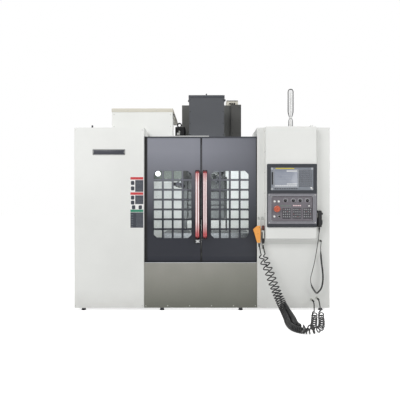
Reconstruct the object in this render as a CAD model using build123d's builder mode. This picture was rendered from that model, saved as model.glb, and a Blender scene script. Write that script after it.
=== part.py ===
from build123d import *
import os
from math import cos, radians, sin, tan

os.makedirs("parts", exist_ok=True)

# Vertical machining centre with two sliding front doors, an arm-type tool
# changer beside the head and an operator panel on the right-hand cabinet.
# X runs to the right across the front, Y from the front to the back, Z up.
# The origin is on the floor, below the middle of the outline.

# Sheet metal
machine_width = 2660.0
cabinet_height = 1877.0
floor_gap = 30.0
sheet = 3.0
fold_radius = 6.0
left_cabinet_width = 727.0
right_cabinet_width = 756.0
cabinet_depth = 1250.0
left_roof_depth = 280.0
right_roof_depth = 430.0
return_depth = 21.0
apron_setback = 8.0
apron_height = 371.0

# Doors
door_setback = 30.0
door_thickness = 40.0
door_skin = 4.0
door_rim = 25.0
door_overlap = 20.0
door_fold_height = 561.0
door_fold_drop = 7.0
seam_shift = 6.0
seam_gap = 2.0
track_top_height = 1788.0
run_gap = 0.5
window_columns = 4
window_rows = 7
window_bar = 17.0
window_share = 0.671
window_place = 0.508
window_corner = 36.0
window_mid_height = 1076.0
pane_lap = 10.0
pane_gap = 0.3
glass_thickness = 5.0
handle_offset = 39.5
handle_width = 40.0
handle_reach = 65.0
handle_length = 712.0
handle_grip = 22.0
stop_space = 62.0

# Bed, column and axes
spindle_x = 50.0
spindle_depth = 690.0
x_travel = 800.0
y_travel = 500.0
z_travel = 500.0
table_length = 1000.0
table_width = 500.0
table_thickness = 70.0
slot_count = 5
slot_pitch = 100.0
slot_width = 18.0
base_clearance = 70.0
base_height = 470.0
base_front_depth = 180.0
base_half_width = 380.0
column_front_depth = 1270.0
column_length = 530.0
column_top = 2438.0
column_half_width = 329.0
column_foot_half = 400.0
column_foot_height = 120.0
column_waist = 620.0
y_rail_width = 45.0
y_rail_height = 40.0
y_rail_half_gap = 300.0
x_rail_width = 35.0
x_rail_height = 30.0
x_rail_half_gap = 160.0
z_rail_width = 35.0
z_rail_height = 35.0
z_rail_half_gap = 190.0
screw_radius = 20.0
rail_clearance = 0.3
saddle_thickness = 70.0
saddle_half_length = 670.0
saddle_half_depth = 230.0
nose_to_table = 600.0

# Head
nose_radius = 48.0
cartridge_radius = 75.0
shaft_clearance = 0.08
taper_gauge_radius = 22.225
taper_depth = 65.0
cover_left = 206.0
cover_right = 205.0
cover_front_depth = 510.0
cover_top = 2373.0
cover_sheet = 3.0
way_cover_length = 200.0
way_cover_lap = 15.0
way_cover_pitch = 5.0
way_cover_sheet = 2.0
way_cover_half = 240.0

# Tool changer
arm_reach = 325.0
pot_count = 24
pot_circle = 300.0
pot_radius = 31.0
pot_length = 85.0
pot_tail = 15.0
arm_thickness = 35.0
arm_drop = 115.0
magazine_half_depth = 395.0
magazine_left = -1004.0
magazine_right = -328.0
magazine_floor = 1415.0
magazine_top = 2170.0
sleeve_radius = 30.0

# Operator panel
pod_width = 523.0
pod_margin = 159.0
pod_depth = 90.0
pod_bottom = 723.0
pod_slope = 55.0
bezel_thickness = 14.0
panel_plate = 5.0
knob_radius = 14.0
knob_height = 20.0
button_gap = 0.3

# Hoses and cables
coil_radius = 30.0
hose_radius = 6.0
cable_radius = 4.0
cable_coil_radius = 10.0

# Derived reference planes
estop_height = 30.0
estop_seat = 0.5
front_reach = pod_depth + panel_plate + estop_height - estop_seat
power_cabinet_front = column_front_depth + column_length
power_cabinet_depth = 350.0
power_door = 22.0
rear_handle = 18.0
rear_reach = power_cabinet_front + power_cabinet_depth + power_door + rear_handle
y_front = (front_reach - rear_reach) / 2.0
x_left = -machine_width / 2.0
x_right = machine_width / 2.0
pod_right = x_right - pod_margin
pod_left = pod_right - pod_width
z_low = floor_gap
z_high = floor_gap + cabinet_height
door_x0 = x_left + left_cabinet_width
door_x1 = x_right - right_cabinet_width
seam_x = (door_x0 + door_x1) / 2.0 + seam_shift
sill_top = floor_gap + apron_height + sheet
track_top = floor_gap + track_top_height
door_low = sill_top + run_gap
door_high = track_top - sheet - run_gap
door_front = y_front + door_setback
door_back = door_front + door_thickness
frame_front = door_back + run_gap
frame_back = frame_front + sheet
door_travel = door_x1 - (seam_x + handle_offset + handle_width / 2.0) - stop_space
door_half = (door_x1 - door_x0) / 2.0
window_offset = window_place * door_half
window_width = window_share * door_half
window_cell = (window_width - (window_columns - 1) * window_bar) / window_columns
window_height = window_rows * window_cell + (window_rows - 1) * window_bar
window_z = floor_gap + window_mid_height
fold_z = floor_gap + door_fold_height

base_top = base_clearance + base_height
spindle_y = y_front + spindle_depth
column_y = y_front + column_front_depth
column_back = column_y + column_length
base_y0 = y_front + base_front_depth
saddle_low = base_top + y_rail_height + 15.0
saddle_high = saddle_low + saddle_thickness
table_low = saddle_high + x_rail_height + 10.0
table_high = table_low + table_thickness
nose_z = table_high + nose_to_table
wall_left = spindle_x - table_length / 2.0 - x_travel / 2.0 - 40.0
wall_right = spindle_x + table_length / 2.0 + x_travel / 2.0 + 40.0

# Levelling feet: eight under the bed and four under the sheet metal.
# Each bed foot is a pad with a threaded stem and a lock nut.
pad_radius = 60.0
pad_height = 24.0
stem_radius = 18.0
panel_foot_radius = 20.0
bed_rows = [base_front_depth + 80.0, 760.0, column_front_depth + 20.0, column_front_depth + column_length - 60.0]
bed_spots = [
    (spindle_x + side * (base_half_width - 80.0), y_front + row)
    for row in bed_rows
    for side in (-1, 1)
]
panel_spots = [
    (x_left + 87.0, y_front + 45.0),
    (door_x0 + 183.0, y_front + 45.0),
    (door_x1 - 169.0, y_front + 45.0),
    (x_right - 87.0, y_front + 45.0),
]
with BuildPart() as feet:
    with BuildSketch(Plane.XY):
        with Locations(*bed_spots):
            Circle(pad_radius)
    extrude(amount=pad_height)
    chamfer(feet.edges().group_by(Axis.Z)[-1], length=5)
    with BuildSketch(Plane.XY.offset(pad_height)):
        with Locations(*bed_spots):
            Circle(stem_radius)
    extrude(amount=base_clearance - pad_height)
    with BuildSketch(Plane.XY.offset(base_clearance - 22)):
        with Locations(*bed_spots):
            RegularPolygon(radius=30, side_count=6)
    extrude(amount=14)
    with BuildSketch(Plane.XY):
        with Locations(*panel_spots):
            Circle(panel_foot_radius)
    extrude(amount=floor_gap)
feet.part.label = "leveling_feet"
export_step(feet.part, "parts/leveling_feet.step")

# Bed casting: a long front limb under the saddle and a wider rear limb
# under the column, with ribbed pockets along both sides.
rear_half = base_half_width + 70.0
base_length = column_back - base_y0
with BuildPart() as base:
    with BuildSketch(Plane.XY.offset(base_clearance)):
        with BuildLine():
            Polyline(
                (spindle_x - base_half_width, base_y0),
                (spindle_x + base_half_width, base_y0),
                (spindle_x + base_half_width, column_y - 80),
                (spindle_x + rear_half, column_y - 10),
                (spindle_x + rear_half, column_back),
                (spindle_x - rear_half, column_back),
                (spindle_x - rear_half, column_y - 10),
                (spindle_x - base_half_width, column_y - 80),
                close=True,
            )
        make_face()
    extrude(amount=base_height)
    chamfer(base.edges().filter_by(Axis.Z).group_by(Axis.Y)[0], length=30)
    pocket_mid = base_y0 + (column_y - 80 - base_y0) / 2.0
    for side in (-1, 1):
        with BuildSketch(Plane.YZ.offset(spindle_x + side * base_half_width)):
            with Locations((pocket_mid, base_clearance + base_height * 0.45)):
                with GridLocations(250, 1, 4, 1):
                    RectangleRounded(190, base_height * 0.5, 25)
        extrude(amount=-side * 60, mode=Mode.SUBTRACT)
base.part.label = "base_casting"
export_step(base.part, "parts/base_casting.step")

# Column: a tapered casting with an arch for the Y motor, ribbed pockets
# in the back and lightening windows in both flanks.
arch_half = 130.0
arch_height = 230.0
with BuildPart() as column:
    with BuildSketch(Plane.XZ.offset(-column_y)):
        with BuildLine():
            Polyline(
                (spindle_x - column_foot_half, base_top),
                (spindle_x + column_foot_half, base_top),
                (spindle_x + column_foot_half, base_top + column_foot_height),
                (spindle_x + column_half_width, base_top + column_waist),
                (spindle_x + column_half_width, column_top),
                (spindle_x - column_half_width, column_top),
                (spindle_x - column_half_width, base_top + column_waist),
                (spindle_x - column_foot_half, base_top + column_foot_height),
                close=True,
            )
        make_face()
    extrude(amount=-column_length)
    with BuildSketch(Plane.XZ.offset(-column_y)):
        with Locations((spindle_x, base_top + arch_height / 2.0)):
            Rectangle(2 * arch_half, arch_height)
        with Locations((spindle_x, base_top + arch_height)):
            Circle(arch_half)
    extrude(amount=-column_length, mode=Mode.SUBTRACT)
    with BuildSketch(Plane.YZ.offset(spindle_x)):
        with Locations((column_y + column_length * 0.55, (base_top + column_top) / 2.0 + 330)):
            with GridLocations(1, 420, 1, 3):
                RectangleRounded(column_length * 0.45, 300, 40)
    extrude(amount=column_half_width * 1.5, both=True, mode=Mode.SUBTRACT)
column.part.label = "column_casting"
export_step(column.part, "parts/column_casting.step")

# Left cabinet: front, side and rear flange folded from one sheet, a roof
# strip over the door pocket, a foot flange and a lifting stud.
with BuildPart() as left_cabinet:
    with BuildSketch(Plane.XY.offset(z_low)):
        with BuildLine():
            FilletPolyline(
                (door_x0, y_front + return_depth),
                (door_x0, y_front),
                (x_left, y_front),
                (x_left, y_front + cabinet_depth),
                (x_left + 60, y_front + cabinet_depth),
                radius=fold_radius,
            )
            offset(amount=sheet, side=Side.RIGHT)
        make_face()
    extrude(amount=cabinet_height)
    with BuildSketch(Plane.XY.offset(z_high - sheet)):
        with Locations(((x_left + door_x0) / 2.0, y_front + left_roof_depth / 2.0 + 1)):
            Rectangle(left_cabinet_width - 2, left_roof_depth - 2)
    extrude(amount=sheet)
    with BuildSketch(Plane.XY.offset(z_low)):
        with Locations(((x_left + door_x0) / 2.0, y_front + 36)):
            Rectangle(left_cabinet_width - 2, 70)
    extrude(amount=sheet)
    with BuildSketch(Plane.YZ.offset(door_x0 - sheet)):
        with Locations((y_front + left_roof_depth / 2.0, (track_top + z_high) / 2.0 + 1)):
            Rectangle(left_roof_depth - 2, z_high - track_top - 4)
    extrude(amount=sheet)
    with BuildSketch(Plane.XY.offset(z_high - 1)):
        with Locations((x_left + 181, y_front + 30)):
            Circle(6)
    extrude(amount=26)
left_cabinet.part.label = "left_cabinet"
export_step(left_cabinet.part, "parts/left_cabinet.step")

# Right cabinet: the same folded sheet turned the other way, with a deeper
# roof, and a shallow groove where the narrow outer panel meets the front.
strip_width = 134.0
with BuildPart() as right_cabinet:
    with BuildSketch(Plane.XY.offset(z_low)):
        with BuildLine():
            FilletPolyline(
                (door_x1, y_front + return_depth),
                (door_x1, y_front),
                (x_right, y_front),
                (x_right, y_front + cabinet_depth),
                (x_right - 60, y_front + cabinet_depth),
                radius=fold_radius,
            )
            offset(amount=sheet, side=Side.LEFT)
        make_face()
    extrude(amount=cabinet_height)
    with BuildSketch(Plane.XY.offset(z_high - sheet)):
        with Locations(((x_right + door_x1) / 2.0, y_front + right_roof_depth / 2.0 + 1)):
            Rectangle(right_cabinet_width - 2, right_roof_depth - 2)
    extrude(amount=sheet)
    with BuildSketch(Plane.XY.offset(z_low)):
        with Locations(((x_right + door_x1) / 2.0, y_front + 36)):
            Rectangle(right_cabinet_width - 2, 70)
    extrude(amount=sheet)
    with BuildSketch(Plane.YZ.offset(door_x1)):
        with Locations((y_front + right_roof_depth / 2.0, (track_top + z_high) / 2.0 + 1)):
            Rectangle(right_roof_depth - 2, z_high - track_top - 4)
    extrude(amount=sheet)
    with BuildSketch(Plane.XZ.offset(-y_front)):
        with Locations((x_right - strip_width, (z_low + z_high) / 2.0)):
            Rectangle(4, cabinet_height)
    extrude(amount=-sheet / 2.0, mode=Mode.SUBTRACT)
right_cabinet.part.label = "right_cabinet"
export_step(right_cabinet.part, "parts/right_cabinet.step")

# Stainless apron below the doors, folded at all four edges.
apron_gap = 0.5
apron_x0 = door_x0 + apron_gap
apron_x1 = door_x1 - apron_gap
apron_top = floor_gap + apron_height
with BuildPart() as apron:
    with BuildSketch(Plane.YZ.offset(apron_x0)):
        with BuildLine():
            FilletPolyline(
                (y_front + 58, apron_top),
                (y_front + apron_setback, apron_top),
                (y_front + apron_setback, z_low),
                (y_front + 78, z_low),
                radius=4,
            )
            offset(amount=2, side=Side.LEFT)
        make_face()
    extrude(amount=apron_x1 - apron_x0)
    for x in (apron_x0, apron_x1 - 2):
        with BuildSketch(Plane.YZ.offset(x)):
            with Locations((y_front + apron_setback + 20, (apron_top + z_low) / 2.0)):
                Rectangle(38, apron_height - 3)
        extrude(amount=2)
apron.part.label = "front_apron"
export_step(apron.part, "parts/front_apron.step")

# Door frame: a pressed wall behind the doors with the front opening, the
# top track that the doors hang in and the sill that they slide on.
frame_side = 18.0
with BuildPart() as door_frame:
    with BuildSketch(Plane.XZ.offset(-frame_front)):
        with BuildLine():
            Polyline(
                (x_left + sheet, z_low + sheet),
                (door_x0 - 40, z_low + sheet),
                (door_x0 - 40, apron_top),
                (door_x1 + 40, apron_top),
                (door_x1 + 40, z_low + sheet),
                (x_right - sheet, z_low + sheet),
                (x_right - sheet, z_high - sheet),
                (door_x1 + 40, z_high - sheet),
                (door_x1 + 40, track_top),
                (door_x0 - 40, track_top),
                (door_x0 - 40, z_high - sheet),
                (x_left + sheet, z_high - sheet),
                close=True,
            )
        make_face()
        with Locations(((door_x0 + door_x1) / 2.0, (sill_top + 14 + track_top - 58) / 2.0)):
            Rectangle(
                door_x1 - door_x0 - 2 * frame_side,
                track_top - 58 - sill_top - 14,
                mode=Mode.SUBTRACT,
            )
    extrude(amount=-sheet)
    with BuildSketch(Plane.YZ.offset(door_x0 - door_overlap - door_travel - 10)):
        with BuildLine():
            Polyline(
                (frame_front, track_top),
                (door_front - run_gap - sheet, track_top),
                (door_front - run_gap - sheet, track_top - 16),
                (door_front - run_gap, track_top - 16),
                (door_front - run_gap, track_top - sheet),
                (frame_front, track_top - sheet),
                close=True,
            )
        make_face()
        with Locations(((door_front - run_gap - sheet + frame_front) / 2.0, sill_top - sheet / 2.0)):
            Rectangle(frame_front - door_front + run_gap + sheet, sheet)
    extrude(amount=door_x1 - door_x0 + 2 * (door_overlap + door_travel + 10))
    with BuildSketch(Plane.XY.offset(sill_top - sheet)):
        with Locations(((door_x0 + door_x1) / 2.0, (y_front + apron_setback - 3 + frame_front) / 2.0)):
            Rectangle(door_x1 - door_x0 - 2 * apron_gap, frame_front - y_front - apron_setback + 3)
    extrude(amount=sheet)
door_frame.part.label = "door_frame"
export_step(door_frame.part, "parts/door_frame.step")


# A door is a folded pan: a skin with a crease near the bottom, a deep rim
# round its edge and round the window, and an open back. The window is a
# field of square cells cut in the skin, with its four corners cut off.
def door_pan(x_low, x_high, window_x):
    middle = (x_low + x_high) / 2.0
    width = x_high - x_low
    height = door_high - door_low
    level = (door_high + door_low) / 2.0
    with BuildPart() as pan:
        with BuildSketch(Plane.YZ.offset(x_low)):
            with BuildLine():
                Polyline(
                    (door_front, door_high),
                    (door_front, fold_z),
                    (door_front + door_fold_drop, door_low),
                    (door_back, door_low),
                    (door_back, door_high),
                    close=True,
                )
            make_face()
        extrude(amount=width)
        with BuildSketch(Plane.XZ.offset(-door_back)):
            with Locations((middle, level)):
                Rectangle(width - 2 * door_rim, height - 2 * door_rim)
            with Locations((window_x, window_z)):
                Rectangle(window_width + 2 * door_rim, window_height + 2 * door_rim, mode=Mode.SUBTRACT)
        extrude(amount=door_thickness - door_skin - door_fold_drop, mode=Mode.SUBTRACT)
        with BuildSketch(Plane.XZ.offset(-door_back)):
            with Locations((window_x, window_z)):
                Rectangle(window_width + 2 * pane_lap, window_height + 2 * pane_lap)
        extrude(amount=door_thickness - door_skin, mode=Mode.SUBTRACT)
        with BuildSketch(Plane.XZ.offset(-door_back)):
            with Locations((window_x, window_z)):
                with GridLocations(
                    window_cell + window_bar, window_cell + window_bar, window_columns, window_rows
                ):
                    Rectangle(window_cell, window_cell)
                with GridLocations(window_width, window_height, 2, 2):
                    Rectangle(
                        window_corner * 2**0.5, window_corner * 2**0.5, rotation=45, mode=Mode.SUBTRACT
                    )
        extrude(amount=door_thickness, mode=Mode.SUBTRACT)
    return pan.part


left_inner = seam_x - seam_gap / 2.0
right_inner = seam_x + seam_gap / 2.0
left_window_x = seam_x - window_offset
right_window_x = seam_x + window_offset
handle_low = floor_gap + 718.0
latch_z = floor_gap + 693.0
latch_x = seam_x - 37.0
with BuildPart() as left_door:
    add(door_pan(door_x0 - door_overlap, left_inner, left_window_x))
    with BuildSketch(Plane.XZ.offset(-door_front)):
        with Locations((latch_x, latch_z)):
            RectangleRounded(70, 44, 6)
    extrude(amount=16)
    with BuildSketch(Plane.XZ.offset(-door_front + 16)):
        with Locations((latch_x, latch_z)):
            Circle(6)
    extrude(amount=8)
left_door.part.label = "left_door"
export_step(left_door.part, "parts/left_door.step")

with BuildPart() as right_door:
    add(door_pan(right_inner, door_x1 + door_overlap, right_window_x))
right_door.part.label = "right_door"
export_step(right_door.part, "parts/right_door.step")


# A window is a clear pane in the pocket behind the cells.
def window_pane(window_x):
    with BuildPart() as pane:
        with BuildSketch(Plane.XZ.offset(-door_front - door_skin - pane_gap)):
            with Locations((window_x, window_z)):
                Rectangle(
                    window_width + 2 * pane_lap - 2 * pane_gap,
                    window_height + 2 * pane_lap - 2 * pane_gap,
                )
        extrude(amount=-glass_thickness)
    return pane.part


with BuildPart() as left_window:
    add(window_pane(left_window_x))
left_window.part.label = "left_window"
export_step(left_window.part, "parts/left_window.step")

with BuildPart() as right_window:
    add(window_pane(right_window_x))
right_window.part.label = "right_window"
export_step(right_window.part, "parts/right_window.step")


# A handle is a long bow: two feet on the door and a rounded grip between.
def door_handle(handle_x):
    front = door_front - handle_reach
    with BuildPart() as bow:
        with BuildSketch(Plane.YZ.offset(handle_x - handle_width / 2.0)):
            with BuildLine():
                FilletPolyline(
                    (door_front, handle_low),
                    (front, handle_low + 20),
                    (front, handle_low + handle_length - 20),
                    (door_front, handle_low + handle_length),
                    close=False,
                    radius=18,
                )
                Line((door_front, handle_low + handle_length), (door_front, handle_low))
            make_face()
            with Locations((door_front - (handle_reach - handle_grip) / 2.0, handle_low + handle_length / 2.0)):
                RectangleRounded(
                    handle_reach - handle_grip, handle_length - 110, 12, mode=Mode.SUBTRACT
                )
            with Locations((door_front - 6, handle_low + handle_length / 2.0)):
                Rectangle(12, handle_length - 110, mode=Mode.SUBTRACT)
        extrude(amount=handle_width)
        chamfer(bow.edges().filter_by(Axis.Z).group_by(Axis.Y)[0], length=7)
    return bow.part


with BuildPart() as left_handle:
    add(door_handle(seam_x - handle_offset))
left_handle.part.label = "left_handle"
export_step(left_handle.part, "parts/left_handle.step")

with BuildPart() as right_handle:
    add(door_handle(seam_x + handle_offset))
right_handle.part.label = "right_handle"
export_step(right_handle.part, "parts/right_handle.step")

# Latch: a cross-shaped thumb piece that turns on the boss of the left door.
latch_y = door_front - 16 - 0.3
with BuildPart() as latch:
    with BuildSketch(Plane.XZ.offset(-latch_y)):
        with Locations((latch_x, latch_z)):
            Circle(14)
            Rectangle(48, 11, rotation=35)
            Rectangle(48, 11, rotation=-35)
            Circle(6 + shaft_clearance, mode=Mode.SUBTRACT)
    extrude(amount=7)
latch.part.label = "door_latch"
export_step(latch.part, "parts/door_latch.step")

# Work area lining: side walls, sloped chip chutes down to the bed, rear
# walls beside the column and the fixed lowest plate of the Z way cover.
chute_high = base_top - 20
chute_low = base_top - 140
rear_wall_y = column_y - 48
notch_y = spindle_y - magazine_half_depth - 5
notch_z = magazine_floor - 15
fixed_cover_top = nose_z + 100 - 3 * way_cover_length + 3 * way_cover_lap
cover_y = column_y - 70
with BuildPart() as liner:
    with BuildSketch(Plane.YZ.offset(wall_left)):
        with BuildLine():
            Polyline(
                (frame_back, apron_top),
                (rear_wall_y, apron_top),
                (rear_wall_y, notch_z),
                (notch_y, notch_z),
                (notch_y, track_top - 20),
                (frame_back, track_top - 20),
                close=True,
            )
        make_face()
    extrude(amount=-sheet)
    with BuildSketch(Plane.YZ.offset(wall_right)):
        with BuildLine():
            Polyline(
                (frame_back, apron_top),
                (rear_wall_y, apron_top),
                (rear_wall_y, track_top - 20),
                (frame_back, track_top - 20),
                close=True,
            )
        make_face()
    extrude(amount=sheet)
    for wall, edge in ((wall_left, spindle_x - base_half_width), (wall_right, spindle_x + base_half_width)):
        with BuildSketch(Plane.XZ.offset(-frame_back)):
            with BuildLine():
                Polyline(
                    (wall, chute_high),
                    (edge, chute_low),
                    (edge, chute_low - sheet),
                    (wall, chute_high - sheet),
                    close=True,
                )
            make_face()
        extrude(amount=-(column_y - 81 - frame_back))
    with BuildSketch(Plane.XZ.offset(-rear_wall_y)):
        with BuildLine():
            Polyline(
                (wall_left - sheet, apron_top),
                (spindle_x - rear_half - 1, apron_top),
                (spindle_x - rear_half - 1, base_top + 0.3),
                (spindle_x - way_cover_half - 15, base_top + 0.3),
                (spindle_x - way_cover_half - 15, notch_z),
                (wall_left - sheet, notch_z),
                close=True,
            )
        make_face()
        with BuildLine():
            Polyline(
                (wall_right + sheet, apron_top),
                (spindle_x + rear_half + 1, apron_top),
                (spindle_x + rear_half + 1, base_top + 0.3),
                (spindle_x + way_cover_half + 15, base_top + 0.3),
                (spindle_x + way_cover_half + 15, track_top - 20),
                (wall_right + sheet, track_top - 20),
                close=True,
            )
        make_face()
    extrude(amount=-sheet)
    with BuildSketch(Plane.XZ.offset(-cover_y - 3 * way_cover_pitch)):
        with Locations((spindle_x, (fixed_cover_top + base_top + 60) / 2.0)):
            Rectangle(2 * way_cover_half + 10, fixed_cover_top - base_top - 60)
    extrude(amount=-way_cover_sheet)
    for side in (-1, 1):
        with BuildSketch(Plane.XY.offset(base_top + 60)):
            with Locations(
                (
                    spindle_x + side * (way_cover_half + 10),
                    (cover_y + 3 * way_cover_pitch + rear_wall_y + sheet) / 2.0,
                )
            ):
                Rectangle(12, rear_wall_y + sheet - cover_y - 3 * way_cover_pitch)
        extrude(amount=fixed_cover_top - base_top - 60)
liner.part.label = "work_area_liner"
export_step(liner.part, "parts/work_area_liner.step")

# Y guides: two rails and the ball screw on the bed, with end bearings and
# the motor in the column's arch.
y_screw_z = base_top + 27.0
y_rail_start = base_y0 + 15
y_rail_end = column_y - 70
with BuildPart() as y_guides:
    with BuildSketch(Plane.XZ.offset(-y_rail_start)):
        for side in (-1, 1):
            with Locations((spindle_x + side * y_rail_half_gap, base_top + y_rail_height / 2.0)):
                Rectangle(y_rail_width, y_rail_height)
    extrude(amount=-(y_rail_end - y_rail_start))
    with BuildSketch(Plane.XZ.offset(-y_rail_start)):
        with Locations((spindle_x, y_screw_z)):
            Circle(screw_radius)
    extrude(amount=-(column_y + 30 - y_rail_start))
    for start in (y_rail_start, column_y - 45):
        with BuildSketch(Plane.XZ.offset(-start)):
            with Locations((spindle_x, base_top + 25)):
                Rectangle(100, 50)
        extrude(amount=-40)
    with BuildSketch(Plane.XZ.offset(-column_y - 30)):
        with Locations((spindle_x, base_top + 66)):
            RectangleRounded(130, 130, 8)
    extrude(amount=-190)
    with BuildSketch(Plane.XZ.offset(-column_y - 30)):
        with Locations((spindle_x, base_top + 30)):
            Rectangle(150, 60)
    extrude(amount=-16)
y_guides.part.label = "y_guides"
export_step(y_guides.part, "parts/y_guides.step")

# Saddle: carries the X rails, rides on four blocks and is driven by a nut.
block_y = (saddle_half_depth - 60, -(saddle_half_depth - 60))
with BuildPart() as saddle:
    with BuildSketch(Plane.XY.offset(saddle_low)):
        with BuildLine():
            Polyline(
                (spindle_x - saddle_half_length, spindle_y - saddle_half_depth + 40),
                (spindle_x - y_rail_half_gap - 90, spindle_y - saddle_half_depth),
                (spindle_x + y_rail_half_gap + 90, spindle_y - saddle_half_depth),
                (spindle_x + saddle_half_length, spindle_y - saddle_half_depth + 40),
                (spindle_x + saddle_half_length, spindle_y + saddle_half_depth - 40),
                (spindle_x + y_rail_half_gap + 90, spindle_y + saddle_half_depth),
                (spindle_x - y_rail_half_gap - 90, spindle_y + saddle_half_depth),
                (spindle_x - saddle_half_length, spindle_y + saddle_half_depth - 40),
                close=True,
            )
        make_face()
    extrude(amount=saddle_thickness)
    with BuildSketch(Plane.XY.offset(base_top + 5)):
        with Locations((spindle_x, spindle_y)):
            with GridLocations(2 * y_rail_half_gap, 2 * (saddle_half_depth - 60), 2, 2):
                Rectangle(110, 110)
            Rectangle(100, 110)
    extrude(amount=saddle_low - base_top - 5)
    with BuildSketch(Plane.XZ.offset(-spindle_y + saddle_half_depth + 20)):
        for side in (-1, 1):
            with Locations((spindle_x + side * y_rail_half_gap, base_top + y_rail_height / 2.0)):
                Rectangle(y_rail_width + 2 * rail_clearance, y_rail_height + 2 * rail_clearance)
        with Locations((spindle_x, y_screw_z)):
            Circle(screw_radius + rail_clearance)
    extrude(amount=-2 * saddle_half_depth - 40, mode=Mode.SUBTRACT)
saddle.part.label = "saddle"
export_step(saddle.part, "parts/saddle.step")

# X guides: rails, screw, bearings and motor on top of the saddle.
x_screw_z = saddle_high + 18.0
x_rail_half = table_length / 2.0 - 240 + x_travel / 2.0
with BuildPart() as x_guides:
    with BuildSketch(Plane.YZ.offset(spindle_x - x_rail_half)):
        for side in (-1, 1):
            with Locations((spindle_y + side * x_rail_half_gap, saddle_high + x_rail_height / 2.0)):
                Rectangle(x_rail_width, x_rail_height)
        with Locations((spindle_y, x_screw_z)):
            Circle(screw_radius - 4)
    extrude(amount=2 * x_rail_half)
    for start in (spindle_x - x_rail_half, spindle_x + x_rail_half - 30):
        with BuildSketch(Plane.YZ.offset(start)):
            with Locations((spindle_y, saddle_high + 17)):
                Rectangle(80, 34)
        extrude(amount=30)
x_guides.part.label = "x_guides"
export_step(x_guides.part, "parts/x_guides.step")

# Table with T-slots, on four blocks and the X nut.
with BuildPart() as table:
    with BuildSketch(Plane.YZ.offset(spindle_x - table_length / 2.0)):
        with Locations((spindle_y, (table_low + table_high) / 2.0)):
            Rectangle(table_width, table_thickness)
        with Locations((spindle_y, table_high)):
            with GridLocations(slot_pitch, 1, slot_count, 1):
                Rectangle(slot_width, 50, mode=Mode.SUBTRACT)
        with Locations((spindle_y, table_high - 32)):
            with GridLocations(slot_pitch, 1, slot_count, 1):
                Rectangle(slot_width + 12, 14, mode=Mode.SUBTRACT)
    extrude(amount=table_length)
    with BuildSketch(Plane.XY.offset(saddle_high + 4)):
        with Locations((spindle_x, spindle_y)):
            with GridLocations(2 * (table_length / 2.0 - 300), 2 * x_rail_half_gap, 2, 2):
                Rectangle(120, 86)
            Rectangle(100, 80)
    extrude(amount=table_low - saddle_high - 4)
    with BuildSketch(Plane.YZ.offset(spindle_x - table_length / 2.0)):
        for side in (-1, 1):
            with Locations((spindle_y + side * x_rail_half_gap, saddle_high + x_rail_height / 2.0)):
                Rectangle(x_rail_width + 2 * rail_clearance, x_rail_height + 2 * rail_clearance)
        with Locations((spindle_y, x_screw_z)):
            Circle(screw_radius - 4 + rail_clearance)
    extrude(amount=table_length, mode=Mode.SUBTRACT)
table.part.label = "table"
export_step(table.part, "parts/table.step")

# Z guides: rails and screw on the column face, the motor on its bracket.
z_rail_low = nose_z - 430.0
z_rail_high = nose_z + 870.0
z_screw_y = column_y - 25.0
with BuildPart() as z_guides:
    with BuildSketch(Plane.XY.offset(z_rail_low)):
        for side in (-1, 1):
            with Locations((spindle_x + side * z_rail_half_gap, column_y - z_rail_height / 2.0)):
                Rectangle(z_rail_width, z_rail_height)
        with Locations((spindle_x, z_screw_y)):
            Circle(screw_radius)
    extrude(amount=z_rail_high - z_rail_low)
    for start in (z_rail_low - 50, z_rail_high):
        with BuildSketch(Plane.XY.offset(start)):
            with Locations((spindle_x, column_y - 25)):
                Rectangle(100, 50)
        extrude(amount=50)
    with BuildSketch(Plane.XY.offset(z_rail_high + 50)):
        with Locations((spindle_x, column_y - 55)):
            RectangleRounded(110, 110, 8)
    extrude(amount=column_top - z_rail_high - 70)
z_guides.part.label = "z_guides"
export_step(z_guides.part, "parts/z_guides.step")

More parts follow.
